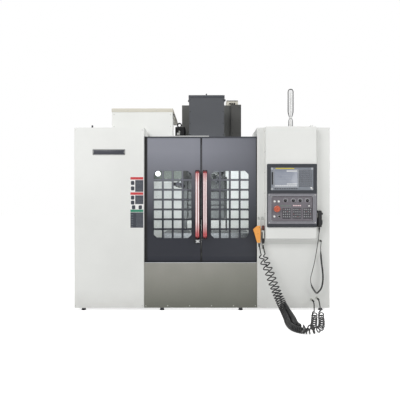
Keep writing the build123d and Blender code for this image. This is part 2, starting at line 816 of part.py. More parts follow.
# Head casting: slide plate on four blocks, forward box, spindle cartridge
# and motor. Bosses at the sides carry the sheet cover.
head_low = nose_z + 90.0
slide_front = column_y - 110.0
slide_back = column_y - 50.0
slide_low = nose_z + 100.0
slide_high = nose_z + 680.0
head_half = 150.0
boss_z = nose_z + 330.0
with BuildPart() as head:
    with BuildSketch(Plane.YZ.offset(spindle_x - head_half)):
        with BuildLine():
            Polyline(
                (slide_front, slide_low),
                (spindle_y + 140, head_low + 30),
                (spindle_y + 100, head_low),
                (spindle_y - 130, head_low),
                (spindle_y - 130, nose_z + 500),
                (spindle_y + 160, nose_z + 520),
                (slide_front, slide_high - 40),
                close=True,
            )
        make_face()
    extrude(amount=2 * head_half)
    fillet(head.edges().filter_by(Axis.Z).group_by(Axis.Y)[0], radius=40)
    with BuildSketch(Plane.XZ.offset(-slide_front)):
        with Locations((spindle_x, (slide_low + slide_high) / 2.0)):
            RectangleRounded(500, slide_high - slide_low, 20)
    extrude(amount=-(slide_back - slide_front))
    with BuildSketch(Plane.XZ.offset(-slide_back)):
        with Locations((spindle_x, (slide_low + slide_high) / 2.0)):
            with GridLocations(2 * z_rail_half_gap, slide_high - slide_low - 180, 2, 2):
                Rectangle(96, 130)
            Rectangle(110, 120)
    extrude(amount=-45)
    with BuildSketch(Plane.XY.offset(slide_low)):
        for side in (-1, 1):
            with Locations((spindle_x + side * z_rail_half_gap, column_y - z_rail_height / 2.0)):
                Rectangle(z_rail_width + 2 * rail_clearance, z_rail_height + 2 * rail_clearance)
        with Locations((spindle_x, z_screw_y)):
            Circle(screw_radius + rail_clearance)
    extrude(amount=slide_high - slide_low, mode=Mode.SUBTRACT)
    with BuildSketch(Plane.XY.offset(nose_z + 20)):
        with Locations((spindle_x, spindle_y)):
            Circle(cartridge_radius)
    extrude(amount=head_low - nose_z - 20, taper=-6)
    with BuildSketch(Plane.XY.offset(nose_z + 20)):
        with Locations((spindle_x, spindle_y)):
            Circle(nose_radius - 12 + shaft_clearance)
    extrude(amount=170, mode=Mode.SUBTRACT)
    with BuildSketch(Plane.XY.offset(nose_z + 498)):
        with Locations((spindle_x, spindle_y)):
            RectangleRounded(240, 240, 20)
    extrude(amount=380)
    with BuildSketch(Plane.YZ.offset(spindle_x)):
        with Locations((spindle_y + 60, boss_z)):
            with GridLocations(240, 200, 2, 2):
                Circle(18)
    extrude(amount=cover_right - cover_sheet)
    with BuildSketch(Plane.YZ.offset(spindle_x)):
        with Locations((spindle_y + 60, boss_z)):
            with GridLocations(240, 200, 2, 2):
                Circle(18)
    extrude(amount=-(cover_left - cover_sheet))
head.part.label = "head_casting"
export_step(head.part, "parts/head_casting.step")

# Spindle: nose flange with the tapered socket and the shaft behind it.
with BuildPart() as spindle:
    with BuildSketch(Plane.XY.offset(nose_z)):
        with Locations((spindle_x, spindle_y)):
            Circle(nose_radius)
    extrude(amount=19.7)
    with BuildSketch(Plane.XY.offset(nose_z + 19.7)):
        with Locations((spindle_x, spindle_y)):
            Circle(nose_radius - 12)
    extrude(amount=160)
    with Locations((spindle_x, spindle_y, nose_z)):
        Cone(
            taper_gauge_radius,
            taper_gauge_radius - taper_depth * 7.0 / 48.0,
            taper_depth,
            align=(Align.CENTER, Align.CENTER, Align.MIN),
            mode=Mode.SUBTRACT,
        )
    with BuildSketch(Plane.XY.offset(nose_z)):
        with Locations((spindle_x, spindle_y)):
            with PolarLocations(nose_radius - 11, 2):
                Rectangle(14, 16)
    extrude(amount=6, mode=Mode.SUBTRACT)
spindle.part.label = "spindle"
export_step(spindle.part, "parts/spindle.step")

# Head cover: a tall sheet hood, open below and behind.
hood_low = nose_z + 110.0
hood_back = slide_front - 5.0
hood_front = y_front + cover_front_depth
with BuildPart() as hood:
    with BuildSketch(Plane.XY.offset(hood_low)):
        with BuildLine():
            FilletPolyline(
                (spindle_x - cover_left, hood_back),
                (spindle_x - cover_left, hood_front),
                (spindle_x + cover_right, hood_front),
                (spindle_x + cover_right, hood_back),
                radius=fold_radius,
            )
            offset(amount=cover_sheet, side=Side.LEFT)
        make_face()
    extrude(amount=cover_top - hood_low)
    with BuildSketch(Plane.XY.offset(cover_top - cover_sheet)):
        with Locations((spindle_x + (cover_right - cover_left) / 2.0, (hood_front + hood_back) / 2.0)):
            Rectangle(cover_left + cover_right - 2, hood_back - hood_front - 2)
    extrude(amount=cover_sheet)
hood.part.label = "head_cover"
export_step(hood.part, "parts/head_cover.step")


# Telescopic Z way cover: each plate has a hem that wipes the plate behind.
def way_plate(order):
    top = slide_low - order * (way_cover_length - way_cover_lap)
    face = cover_y + order * way_cover_pitch
    with BuildPart() as plate:
        with BuildSketch(Plane.XZ.offset(-face)):
            with Locations((spindle_x, top - way_cover_length / 2.0)):
                Rectangle(2 * way_cover_half, way_cover_length)
        extrude(amount=-way_cover_sheet)
        with BuildSketch(Plane.XZ.offset(-face)):
            with Locations((spindle_x, top - way_cover_length + 4)):
                Rectangle(2 * way_cover_half, 8)
        extrude(amount=-(way_cover_pitch - rail_clearance))
    return plate.part


with BuildPart() as cover_upper:
    add(way_plate(0))
cover_upper.part.label = "z_cover_upper"
export_step(cover_upper.part, "parts/z_cover_upper.step")

with BuildPart() as cover_middle:
    add(way_plate(1))
cover_middle.part.label = "z_cover_middle"
export_step(cover_middle.part, "parts/z_cover_middle.step")

with BuildPart() as cover_lower:
    add(way_plate(2))
cover_lower.part.label = "z_cover_lower"
export_step(cover_lower.part, "parts/z_cover_lower.step")

# Column duct: a sheet channel for the cables on the right of the column,
# with a connection box on top.
duct_width = 133.0
duct_low = base_top + column_waist + 2.0
duct_x = spindle_x + column_half_width
with BuildPart() as duct:
    with BuildSketch(Plane.XY.offset(duct_low)):
        with Locations((duct_x + duct_width / 2.0, column_y + 195)):
            Rectangle(duct_width, 470)
        with Locations((duct_x + duct_width / 2.0 - sheet, column_y + 195)):
            Rectangle(duct_width, 470 - 2 * sheet, mode=Mode.SUBTRACT)
    extrude(amount=column_top - duct_low)
    with BuildSketch(Plane.XY.offset(column_top - sheet)):
        with Locations((duct_x + duct_width / 2.0, column_y + 195)):
            Rectangle(duct_width, 470)
    extrude(amount=sheet)
    with BuildSketch(Plane.XY.offset(column_top)):
        with Locations((duct_x + 20, column_y + 100)):
            RectangleRounded(157, 150, 8)
    extrude(amount=73)
    fillet(duct.edges().group_by(Axis.Z)[-1], radius=5)
duct.part.label = "column_duct"
export_step(duct.part, "parts/column_duct.step")

# Work light on top of the door frame.
light_x = -117.0
light_length = 380.0
with BuildPart() as work_light:
    with BuildSketch(Plane.YZ.offset(light_x - light_length / 2.0)):
        with BuildLine():
            Polyline(
                (frame_back - 3, track_top),
                (frame_back + 30, track_top),
                (frame_back + 30, track_top + 6),
                (frame_back + 18, track_top + 15),
                (frame_back - 3, track_top + 15),
                close=True,
            )
        make_face()
    extrude(amount=light_length)
work_light.part.label = "work_light"
export_step(work_light.part, "parts/work_light.step")

# Magazine frame: side plate with the disc bearing, a beam to the column, a
# shelf for the changer drive and the magazine's gear motor.
disc_z = nose_z + pot_length + pot_circle
pot_x = spindle_x - 2 * arm_reach
arm_x = spindle_x - arm_reach
plate_x = pot_x + 60.0
plate_t = 20.0
drive_x0 = arm_x - 47.0
drive_x1 = arm_x + 69.0
disc_shaft_radius = 25.0
with BuildPart() as magazine_frame:
    with BuildSketch(Plane.YZ.offset(plate_x)):
        with BuildLine():
            Polyline(
                (spindle_y - 140, disc_z - 100),
                (spindle_y + 200, disc_z - 160),
                (column_y + 140, disc_z - 160),
                (column_y + 140, disc_z + 140),
                (spindle_y + 200, disc_z + 180),
                (spindle_y + 40, magazine_top - cover_sheet),
                (spindle_y - 40, magazine_top - cover_sheet),
                (spindle_y - 140, disc_z + 140),
                close=True,
            )
        make_face()
        with Locations((spindle_y, disc_z)):
            Circle(disc_shaft_radius + shaft_clearance, mode=Mode.SUBTRACT)
    extrude(amount=plate_t)
    with BuildSketch(Plane.YZ.offset(plate_x + plate_t)):
        with Locations((spindle_y, disc_z)):
            Circle(60)
            Circle(disc_shaft_radius + shaft_clearance, mode=Mode.SUBTRACT)
    extrude(amount=25)
    with BuildSketch(Plane.YZ.offset(plate_x + plate_t + 25)):
        with Locations((spindle_y, disc_z)):
            RectangleRounded(150, 150, 12)
    extrude(amount=65)
    with BuildSketch(Plane.YZ.offset(plate_x + plate_t)):
        with Locations((column_y + 70, disc_z - 10)):
            Rectangle(110, 260)
    extrude(amount=spindle_x - column_half_width - plate_x - plate_t)
    with BuildSketch(Plane.YZ.offset(plate_x + plate_t)):
        with Locations((spindle_y, disc_z - 105)):
            Rectangle(110, 50)
    extrude(amount=drive_x0 - plate_x - plate_t)
magazine_frame.part.label = "magazine_frame"
export_step(magazine_frame.part, "parts/magazine_frame.step")

# Magazine cover: front, outer side, top and part of the back; open below
# for the swinging pot and towards the head for the changer.
with BuildPart() as magazine_cover:
    with BuildSketch(Plane.XY.offset(magazine_floor)):
        with BuildLine():
            FilletPolyline(
                (magazine_right, spindle_y - magazine_half_depth),
                (magazine_left, spindle_y - magazine_half_depth),
                (magazine_left, spindle_y + magazine_half_depth),
                (plate_x - 20, spindle_y + magazine_half_depth),
                radius=fold_radius,
            )
            offset(amount=cover_sheet, side=Side.RIGHT)
        make_face()
    extrude(amount=magazine_top - magazine_floor)
    with BuildSketch(Plane.XY.offset(magazine_top - cover_sheet)):
        with Locations(((magazine_left + magazine_right) / 2.0, spindle_y)):
            Rectangle(magazine_right - magazine_left - 2, 2 * magazine_half_depth - 2)
    extrude(amount=cover_sheet)
    with BuildSketch(Plane.YZ.offset(magazine_right - cover_sheet)):
        with Locations((spindle_y - magazine_half_depth + 60, (magazine_floor + magazine_top) / 2.0)):
            Rectangle(118, magazine_top - magazine_floor)
    extrude(amount=cover_sheet)
magazine_cover.part.label = "magazine_cover"
export_step(magazine_cover.part, "parts/magazine_cover.step")

# Magazine disc: a plate with a hub, one tab and one pot per place, and two
# ears at the lowest place for the pot that swings down.
disc_x0 = pot_x + 25.0
disc_x1 = disc_x0 + 18.0
plate_radius = pot_circle - pot_radius - 7.0
tool_bore = 22.0
ear_gap = 5.0
ear_thickness = 6.0
pin_radius = 5.0
with BuildPart() as disc:
    with BuildSketch(Plane.YZ.offset(disc_x0)):
        with Locations((spindle_y, disc_z)):
            Circle(plate_radius)
            for place in range(1, pot_count):
                angle = radians(-90 + place * 360.0 / pot_count)
                reach = (plate_radius + pot_circle) / 2.0
                with Locations((reach * cos(angle), reach * sin(angle))):
                    Rectangle(
                        pot_circle - plate_radius + 40,
                        34,
                        rotation=-90 + place * 360.0 / pot_count,
                    )
            with PolarLocations(plate_radius * 0.62, 6, start_angle=30):
                Circle(52, mode=Mode.SUBTRACT)
    extrude(amount=disc_x1 - disc_x0)
    with BuildSketch(Plane.YZ.offset(pot_x - pot_length)):
        with Locations((spindle_y, disc_z)):
            for place in range(1, pot_count):
                angle = radians(-90 + place * 360.0 / pot_count)
                with Locations((pot_circle * cos(angle), pot_circle * sin(angle))):
                    Circle(pot_radius)
    extrude(amount=disc_x0 - pot_x + pot_length)
    with BuildSketch(Plane.YZ.offset(pot_x - pot_length)):
        with Locations((spindle_y, disc_z)):
            for place in range(1, pot_count):
                angle = radians(-90 + place * 360.0 / pot_count)
                with Locations((pot_circle * cos(angle), pot_circle * sin(angle))):
                    Circle(tool_bore)
    extrude(amount=70, mode=Mode.SUBTRACT)
    with BuildSketch(Plane.YZ.offset(disc_x1)):
        with Locations((spindle_y, disc_z)):
            Circle(60)
    extrude(amount=plate_x - disc_x1 - rail_clearance)
    with BuildSketch(Plane.YZ.offset(disc_x1)):
        with Locations((spindle_y, disc_z)):
            Circle(disc_shaft_radius)
    extrude(amount=plate_x + plate_t + 22 - disc_x1)
    for side in (-1, 1):
        with BuildSketch(
            Plane.XZ.offset(-spindle_y - side * (pot_radius + ear_gap + ear_thickness / 2.0))
        ):
            with BuildLine():
                Polyline(
                    (disc_x1, disc_z - plate_radius + 25),
                    (disc_x1, nose_z + pot_length - 12),
                    (pot_x + 8, nose_z + pot_length - 12),
                    (pot_x - 12, nose_z + pot_length - 8),
                    (pot_x - 12, nose_z + pot_length + 12),
                    (disc_x0, disc_z - plate_radius + 25),
                    close=True,
                )
            make_face()
            with Locations((pot_x, nose_z + pot_length)):
                Circle(pin_radius + shaft_clearance, mode=Mode.SUBTRACT)
        extrude(amount=ear_thickness / 2.0, both=True)
disc.part.label = "magazine_disc"
export_step(disc.part, "parts/magazine_disc.step")

# The swinging pot at the change place, with its two trunnion pins.
with BuildPart() as pot:
    with BuildSketch(Plane.YZ.offset(pot_x - pot_length)):
        with Locations((spindle_y, nose_z + pot_length)):
            Circle(pot_radius)
    extrude(amount=pot_length + pot_tail)
    with BuildSketch(Plane.YZ.offset(pot_x - pot_length)):
        with Locations((spindle_y, nose_z + pot_length)):
            Circle(tool_bore)
    extrude(amount=70, mode=Mode.SUBTRACT)
    with BuildSketch(Plane.XZ.offset(-spindle_y)):
        with Locations((pot_x, nose_z + pot_length)):
            Circle(pin_radius)
    extrude(amount=pot_radius + ear_gap + ear_thickness, both=True)
pot.part.label = "change_pot"
export_step(pot.part, "parts/change_pot.step")

# Changer drive: a cam box with a bored shaft housing and a lifting eye.
arm_top = nose_z - 22.0
arm_low = arm_top - arm_thickness
housing_low = nose_z + 60.0
drive_low = nose_z + 170.0
drive_top = nose_z + 650.0
with BuildPart() as drive:
    with BuildSketch(Plane.XY.offset(drive_low)):
        with Locations(((drive_x0 + drive_x1) / 2.0, spindle_y)):
            Rectangle(drive_x1 - drive_x0, 190)
    extrude(amount=drive_top - drive_low)
    chamfer(drive.edges().filter_by(Axis.Z), length=10)
    chamfer(drive.edges().group_by(Axis.Z)[-1], length=6)
    with BuildSketch(Plane.XY.offset(housing_low)):
        with Locations((arm_x, spindle_y)):
            Circle(sleeve_radius + 14)
    extrude(amount=drive_low - housing_low)
    with BuildSketch(Plane.XY.offset(housing_low)):
        with Locations((arm_x, spindle_y)):
            Circle(sleeve_radius + shaft_clearance)
    extrude(amount=240, mode=Mode.SUBTRACT)
    with BuildSketch(Plane.XZ.offset(-spindle_y)):
        with Locations((arm_x - 2, drive_top + 18)):
            Rectangle(26, 40)
        with Locations((arm_x - 2, drive_top + 34)):
            Circle(30)
            Circle(16, mode=Mode.SUBTRACT)
    extrude(amount=8, both=True)
drive.part.label = "changer_drive"
export_step(drive.part, "parts/changer_drive.step")

# Arm sleeve: the quill that lifts and lowers the arm.
with BuildPart() as sleeve:
    with BuildSketch(Plane.XY.offset(arm_top + rail_clearance)):
        with Locations((arm_x, spindle_y)):
            Circle(sleeve_radius)
            Circle(15 + shaft_clearance, mode=Mode.SUBTRACT)
    extrude(amount=270)
sleeve.part.label = "arm_sleeve"
export_step(sleeve.part, "parts/arm_sleeve.step")

# Changer arm: a hub, two tapered limbs and a half-round grip at each end,
# both open in the direction of the swing.
grip_radius = 33.0
with BuildPart() as arm:
    with BuildSketch(Plane.XY.offset(arm_low)):
        with Locations((arm_x, spindle_y)):
            Circle(48)
            for side in (-1, 1):
                with Locations((0, side * (arm_reach - 30) / 2.0)):
                    Rectangle(52, arm_reach - 30)
                with Locations((0, side * arm_reach)):
                    Circle(50)
            for side in (-1, 1):
                with Locations((0, side * arm_reach)):
                    Circle(grip_radius, mode=Mode.SUBTRACT)
                with Locations((-side * 40, side * arm_reach)):
                    Rectangle(80, 2 * grip_radius, mode=Mode.SUBTRACT)
    extrude(amount=arm_thickness)
    with BuildSketch(Plane.XY.offset(arm_top)):
        with Locations((arm_x, spindle_y)):
            Circle(15)
    extrude(amount=60)
arm.part.label = "changer_arm"
export_step(arm.part, "parts/changer_arm.step")

# Power cabinet on the back of the column, with the drives inside.
power_half = 400.0
power_low = 620.0
power_high = 2000.0
power_wall = 2.5
power_y0 = column_back
power_y1 = power_y0 + power_cabinet_depth
with BuildPart() as power_cabinet:
    with BuildSketch(Plane.XZ.offset(-power_y0)):
        with Locations((spindle_x, (power_low + power_high) / 2.0)):
            RectangleRounded(2 * power_half, power_high - power_low, 8)
    extrude(amount=-power_cabinet_depth)
    with BuildSketch(Plane.XZ.offset(-power_y0 - power_wall)):
        with Locations((spindle_x, (power_low + power_high) / 2.0)):
            Rectangle(2 * (power_half - power_wall), power_high - power_low - 2 * power_wall)
    extrude(amount=-power_cabinet_depth, mode=Mode.SUBTRACT)
    with BuildSketch(Plane.XZ.offset(-power_y0 - power_wall)):
        with Locations((spindle_x, (power_low + power_high) / 2.0)):
            Rectangle(2 * power_half - 90, power_high - power_low - 120)
    extrude(amount=-12)
    with BuildSketch(Plane.XZ.offset(-power_y0 - power_wall - 12)):
        with Locations((spindle_x, power_high - 300)):
            with GridLocations(110, 1, 5, 1):
                Rectangle(92, 330)
        with Locations((spindle_x, power_low + 330)):
            with GridLocations(320, 260, 2, 2):
                Rectangle(280, 130)
    extrude(amount=-170)
    for level in (power_high - 160, power_low + 160):
        with BuildSketch(Plane.XY.offset(level)):
            with Locations((spindle_x + power_half + 9, power_y1 + power_door / 2.0)):
                Circle(9)
            with Locations((spindle_x + power_half + 4.5, power_y1 - 10 + power_door / 4.0)):
                Rectangle(9, 20 + power_door / 2.0)
        extrude(amount=40)
        with BuildSketch(Plane.XY.offset(level - 50)):
            with Locations((spindle_x + power_half + 9, power_y1 + power_door / 2.0)):
                Circle(5)
        extrude(amount=50)
power_cabinet.part.label = "power_cabinet"
export_step(power_cabinet.part, "parts/power_cabinet.step")

# Power cabinet door with its hinge knuckles and a lift-and-turn handle.
with BuildPart() as power_door_leaf:
    with BuildSketch(Plane.XZ.offset(-power_y1 - run_gap)):
        with Locations((spindle_x, (power_low + power_high) / 2.0)):
            RectangleRounded(2 * power_half - 2, power_high - power_low, 8)
    extrude(amount=-(power_door - run_gap))
    with BuildSketch(Plane.XZ.offset(-power_y1 - run_gap)):
        with Locations((spindle_x, (power_low + power_high) / 2.0)):
            Rectangle(2 * power_half - 10, power_high - power_low - 10)
    extrude(amount=-(power_door - run_gap - 2.5), mode=Mode.SUBTRACT)
    for level in (power_high - 160, power_low + 160):
        with BuildSketch(Plane.XY.offset(level - 50)):
            with Locations((spindle_x + power_half + 9, power_y1 + power_door / 2.0)):
                Circle(9)
            with Locations((spindle_x + power_half + 2, power_y1 + power_door - 4)):
                Rectangle(16, 8)
            with Locations((spindle_x + power_half + 9, power_y1 + power_door / 2.0)):
                Circle(5 + shaft_clearance, mode=Mode.SUBTRACT)
        extrude(amount=50 - rail_clearance)
    with BuildSketch(Plane.XZ.offset(-power_y1 - power_door)):
        with Locations((spindle_x - power_half + 60, (power_low + power_high) / 2.0)):
            RectangleRounded(30, 150, 10)
    extrude(amount=-rear_handle)
power_door_leaf.part.label = "power_cabinet_door"
export_step(power_door_leaf.part, "parts/power_cabinet_door.step")

# Control pod: a rounded sheet box on the right cabinet with a sloped
# underside, a cable gland on top and a small hook for the handwheel.
pod_low = floor_gap + pod_bottom
pod_front = y_front - pod_depth
with BuildPart() as pod:
    with BuildSketch(Plane.YZ.offset(pod_left)):
        with BuildLine():
            Polyline(
                (y_front, z_high),
                (pod_front, z_high),
                (pod_front, pod_low),
                (y_front, pod_low - pod_slope),
                close=True,
            )
        make_face()
    extrude(amount=pod_right - pod_left)
    fillet(pod.edges().filter_by(Axis.Z).group_by(Axis.Y)[0], radius=14)
    fillet(pod.edges().group_by(Axis.Z)[-1].filter_by(Axis.Y), radius=14)
    with BuildSketch(Plane.XY.offset(z_high)):
        with Locations((pod_right - 46, y_front - pod_depth / 2.0)):
            Circle(15)
    extrude(amount=16)
    fillet(pod.edges().group_by(Axis.Z)[-1], radius=7)
pod.part.label = "control_pod"
export_step(pod.part, "parts/control_pod.step")

# Panel bezel: frame with one pocket for the screen and one for the panel.
bezel_x0 = pod_left + 14
bezel_x1 = pod_right - 1
bezel_z0 = floor_gap + 845.0
bezel_z1 = floor_gap + 1490.0
screen_x0 = pod_left + 52.0
screen_x1 = pod_right - 39.0
screen_z0 = floor_gap + 1222.0
screen_z1 = floor_gap + 1453.0
keys_x0 = pod_left + 55.0
keys_x1 = pod_right - 41.0
keys_z0 = floor_gap + 902.0
keys_z1 = floor_gap + 1164.0
unit_fit = 0.3
bezel_front = pod_front - bezel_thickness
with BuildPart() as bezel:
    with BuildSketch(Plane.XZ.offset(-pod_front)):
        with Locations(((bezel_x0 + bezel_x1) / 2.0, (bezel_z0 + bezel_z1) / 2.0)):
            RectangleRounded(bezel_x1 - bezel_x0, bezel_z1 - bezel_z0, 12)
        with Locations(((screen_x0 + screen_x1) / 2.0, (screen_z0 + screen_z1) / 2.0)):
            Rectangle(screen_x1 - screen_x0, screen_z1 - screen_z0, mode=Mode.SUBTRACT)
        with Locations(((keys_x0 + keys_x1) / 2.0, (keys_z0 + keys_z1) / 2.0)):
            Rectangle(keys_x1 - keys_x0, keys_z1 - keys_z0, mode=Mode.SUBTRACT)
    extrude(amount=bezel_thickness)
    chamfer(bezel.faces().sort_by(Axis.Y)[0].outer_wire().edges(), length=4)
    with BuildSketch(Plane.XZ.offset(-bezel_front)):
        with Locations(((bezel_x0 + bezel_x1) / 2.0, bezel_z0 + 18)):
            Rectangle(bezel_x1 - bezel_x0 - 12, 24)
    extrude(amount=4, taper=30)
bezel.part.label = "panel_bezel"
export_step(bezel.part, "parts/panel_bezel.step")

# Screen unit: sunken display on the left, key field on the right.
display_x0 = pod_left + 85.0
display_x1 = pod_left + 328.0
display_z0 = floor_gap + 1253.0
display_z1 = floor_gap + 1428.0
with BuildPart() as screen_unit:
    with BuildSketch(Plane.XZ.offset(-pod_front)):
        with Locations(((screen_x0 + screen_x1) / 2.0, (screen_z0 + screen_z1) / 2.0)):
            Rectangle(screen_x1 - screen_x0 - 2 * unit_fit, screen_z1 - screen_z0 - 2 * unit_fit)
    extrude(amount=bezel_thickness - 3)
    with BuildSketch(Plane.XZ.offset(-bezel_front - 3)):
        with Locations(((display_x0 + display_x1) / 2.0, (display_z0 + display_z1) / 2.0)):
            RectangleRounded(display_x1 - display_x0, display_z1 - display_z0, 6)
    extrude(amount=-4, mode=Mode.SUBTRACT)
    with BuildSketch(Plane.XZ.offset(-bezel_front - 3)):
        with Locations((pod_left + 404, (display_z0 + display_z1) / 2.0 + 4)):
            with GridLocations(23, 22, 6, 8):
                Rectangle(18, 17)
        with Locations(((display_x0 + display_x1) / 2.0, display_z0 - 15)):
            with GridLocations(24, 1, 10, 1):
                Rectangle(18, 12)
    extrude(amount=3, taper=12)
screen_unit.part.label = "screen_unit"
export_step(screen_unit.part, "parts/screen_unit.step")

# Operator plate: sockets for the switches, three key blocks and two lamps.
plate_front = pod_front - panel_plate
knob_spots = [pod_left + 201.0, pod_left + 282.0, pod_left + 352.0, pod_left + 425.0]
knob_z = floor_gap + 1116.0
estop_x = pod_left + 116.0
estop_z = floor_gap + 1031.0
key_x = pod_left + 138.0
key_blocks = [pod_left + 214.0, pod_left + 319.0, pod_left + 425.0]
key_block_z = floor_gap + 986.0
key_z = floor_gap + 955.0
stem = 7.0
button_z = floor_gap + 1108.0
with BuildPart() as operator_plate:
    with BuildSketch(Plane.XZ.offset(-pod_front)):
        with Locations(((keys_x0 + keys_x1) / 2.0, (keys_z0 + keys_z1) / 2.0)):
            Rectangle(keys_x1 - keys_x0 - 2 * unit_fit, keys_z1 - keys_z0 - 2 * unit_fit)
    extrude(amount=panel_plate)
    with BuildSketch(Plane.XZ.offset(-plate_front)):
        with Locations(*[(x, key_block_z) for x in key_blocks]):
            Rectangle(86, 106)
    extrude(amount=2)
    with BuildSketch(Plane.XZ.offset(-plate_front + 2)):
        with Locations(*[(x, key_block_z) for x in key_blocks]):
            with GridLocations(20.5, 25, 4, 4):
                Rectangle(17, 20)
    extrude(amount=3, taper=12)
    with BuildSketch(Plane.XZ.offset(-plate_front)):
        with Locations(*[(pod_left + 90, button_z), (pod_left + 131, button_z), (pod_left + 87, key_z)]):
            Circle(11)
        with Locations((pod_left + 440, floor_gap + 1062)):
            Rectangle(20, 14)
    extrude(amount=9, taper=8)
    with BuildSketch(Plane.XZ.offset(-plate_front)):
        with Locations((estop_x, estop_z)):
            Circle(33)
    extrude(amount=3)
    with BuildSketch(Plane.XZ.offset(-plate_front + 3)):
        with Locations((estop_x, estop_z)):
            Circle(17)
        with Locations(*[(x, knob_z) for x in knob_spots], (key_x, key_z)):
            Circle(stem + shaft_clearance)
    extrude(amount=-3 - panel_plate - 1, mode=Mode.SUBTRACT)
operator_plate.part.label = "operator_plate"
export_step(operator_plate.part, "parts/operator_plate.step")

# Emergency stop: mushroom head on a plunger.
with BuildPart() as estop:
    with BuildSketch(Plane.XY):
        with BuildLine():
            Polyline(
                (0, 0),
                (17 - shaft_clearance, 0),
                (17 - shaft_clearance, 14),
                (30, 14),
                (30, estop_height),
                (0, estop_height),
                close=True,
            )
        make_face()
    revolve(axis=Axis.Y)
    fillet(estop.edges().group_by(Axis.Y)[-1], radius=8)
estop_y = plate_front + estop_seat
estop_solid = Pos(estop_x, estop_y, estop_z) * (Rot(180, 0, 0) * estop.part)
with BuildPart() as estop_placed:
    add(estop_solid)
estop_placed.part.label = "estop_button"
export_step(estop_placed.part, "parts/estop_button.step")


# A selector knob: skirt, finger bar and a stem in the plate.
def selector_knob(knob_x, knob_height_at, bar_angle):
    with BuildPart() as knob:
        with BuildSketch(Plane.XZ.offset(-plate_front + button_gap)):
            with Locations((knob_x, knob_height_at)):
                Circle(knob_radius)
        extrude(amount=8, taper=6)
        with BuildSketch(Plane.XZ.offset(-plate_front + button_gap + 8)):
            with Locations((knob_x, knob_height_at)):
                Rectangle(7, 2 * knob_radius - 4, rotation=bar_angle)
        extrude(amount=knob_height - 8, taper=5)
        with BuildSketch(Plane.XZ.offset(-plate_front + button_gap)):
            with Locations((knob_x, knob_height_at)):
                Circle(stem)
        extrude(amount=-4)
    return knob.part


with BuildPart() as feed_knob:
    add(selector_knob(knob_spots[0], knob_z, 30))
feed_knob.part.label = "feed_knob"
export_step(feed_knob.part, "parts/feed_knob.step")

with BuildPart() as rapid_knob:
    add(selector_knob(knob_spots[1], knob_z, 0))
rapid_knob.part.label = "rapid_knob"
export_step(rapid_knob.part, "parts/rapid_knob.step")

with BuildPart() as spindle_knob:
    add(selector_knob(knob_spots[2], knob_z, -30))
spindle_knob.part.label = "spindle_knob"
export_step(spindle_knob.part, "parts/spindle_knob.step")

with BuildPart() as mode_knob:
    add(selector_knob(knob_spots[3], knob_z, 45))
mode_knob.part.label = "mode_knob"
export_step(mode_knob.part, "parts/mode_knob.step")

# Key switch: a lock barrel with the key in it.
with BuildPart() as key_switch:
    with BuildSketch(Plane.XZ.offset(-plate_front + button_gap)):
        with Locations((key_x, key_z)):
            Circle(11)
    extrude(amount=7)
    with BuildSketch(Plane.XZ.offset(-plate_front + button_gap + 7)):
        with Locations((key_x, key_z)):
            Rectangle(2.5, 14)
    extrude(amount=12)
    with BuildSketch(Plane.XZ.offset(-plate_front + button_gap)):
        with Locations((key_x, key_z)):
            Circle(stem)
    extrude(amount=-4)
key_switch.part.label = "key_switch"
export_step(key_switch.part, "parts/key_switch.step")

# Signal lamp: a frosted tube with a domed top on a round foot.
lamp_x = pod_left + 264.0
lamp_y = y_front - pod_depth / 2.0
lamp_height = 388.0
with BuildPart() as lamp:
    with BuildSketch(Plane.XZ):
        with BuildLine():
            Polyline(
                (0, 0), (30, 0), (30, 50), (26, 58), (19, 72), (29, 92), (29, 104), (30, 108),
                (30, lamp_height), (0, lamp_height),
                close=True,
            )
        make_face()
    revolve(axis=Axis.Z)
    fillet(lamp.edges().group_by(Axis.Z)[-1], radius=16)
with BuildPart() as lamp_placed:
    add(Pos(lamp_x, lamp_y, z_high) * lamp.part)
lamp_placed.part.label = "signal_lamp"
export_step(lamp_placed.part, "parts/signal_lamp.step")

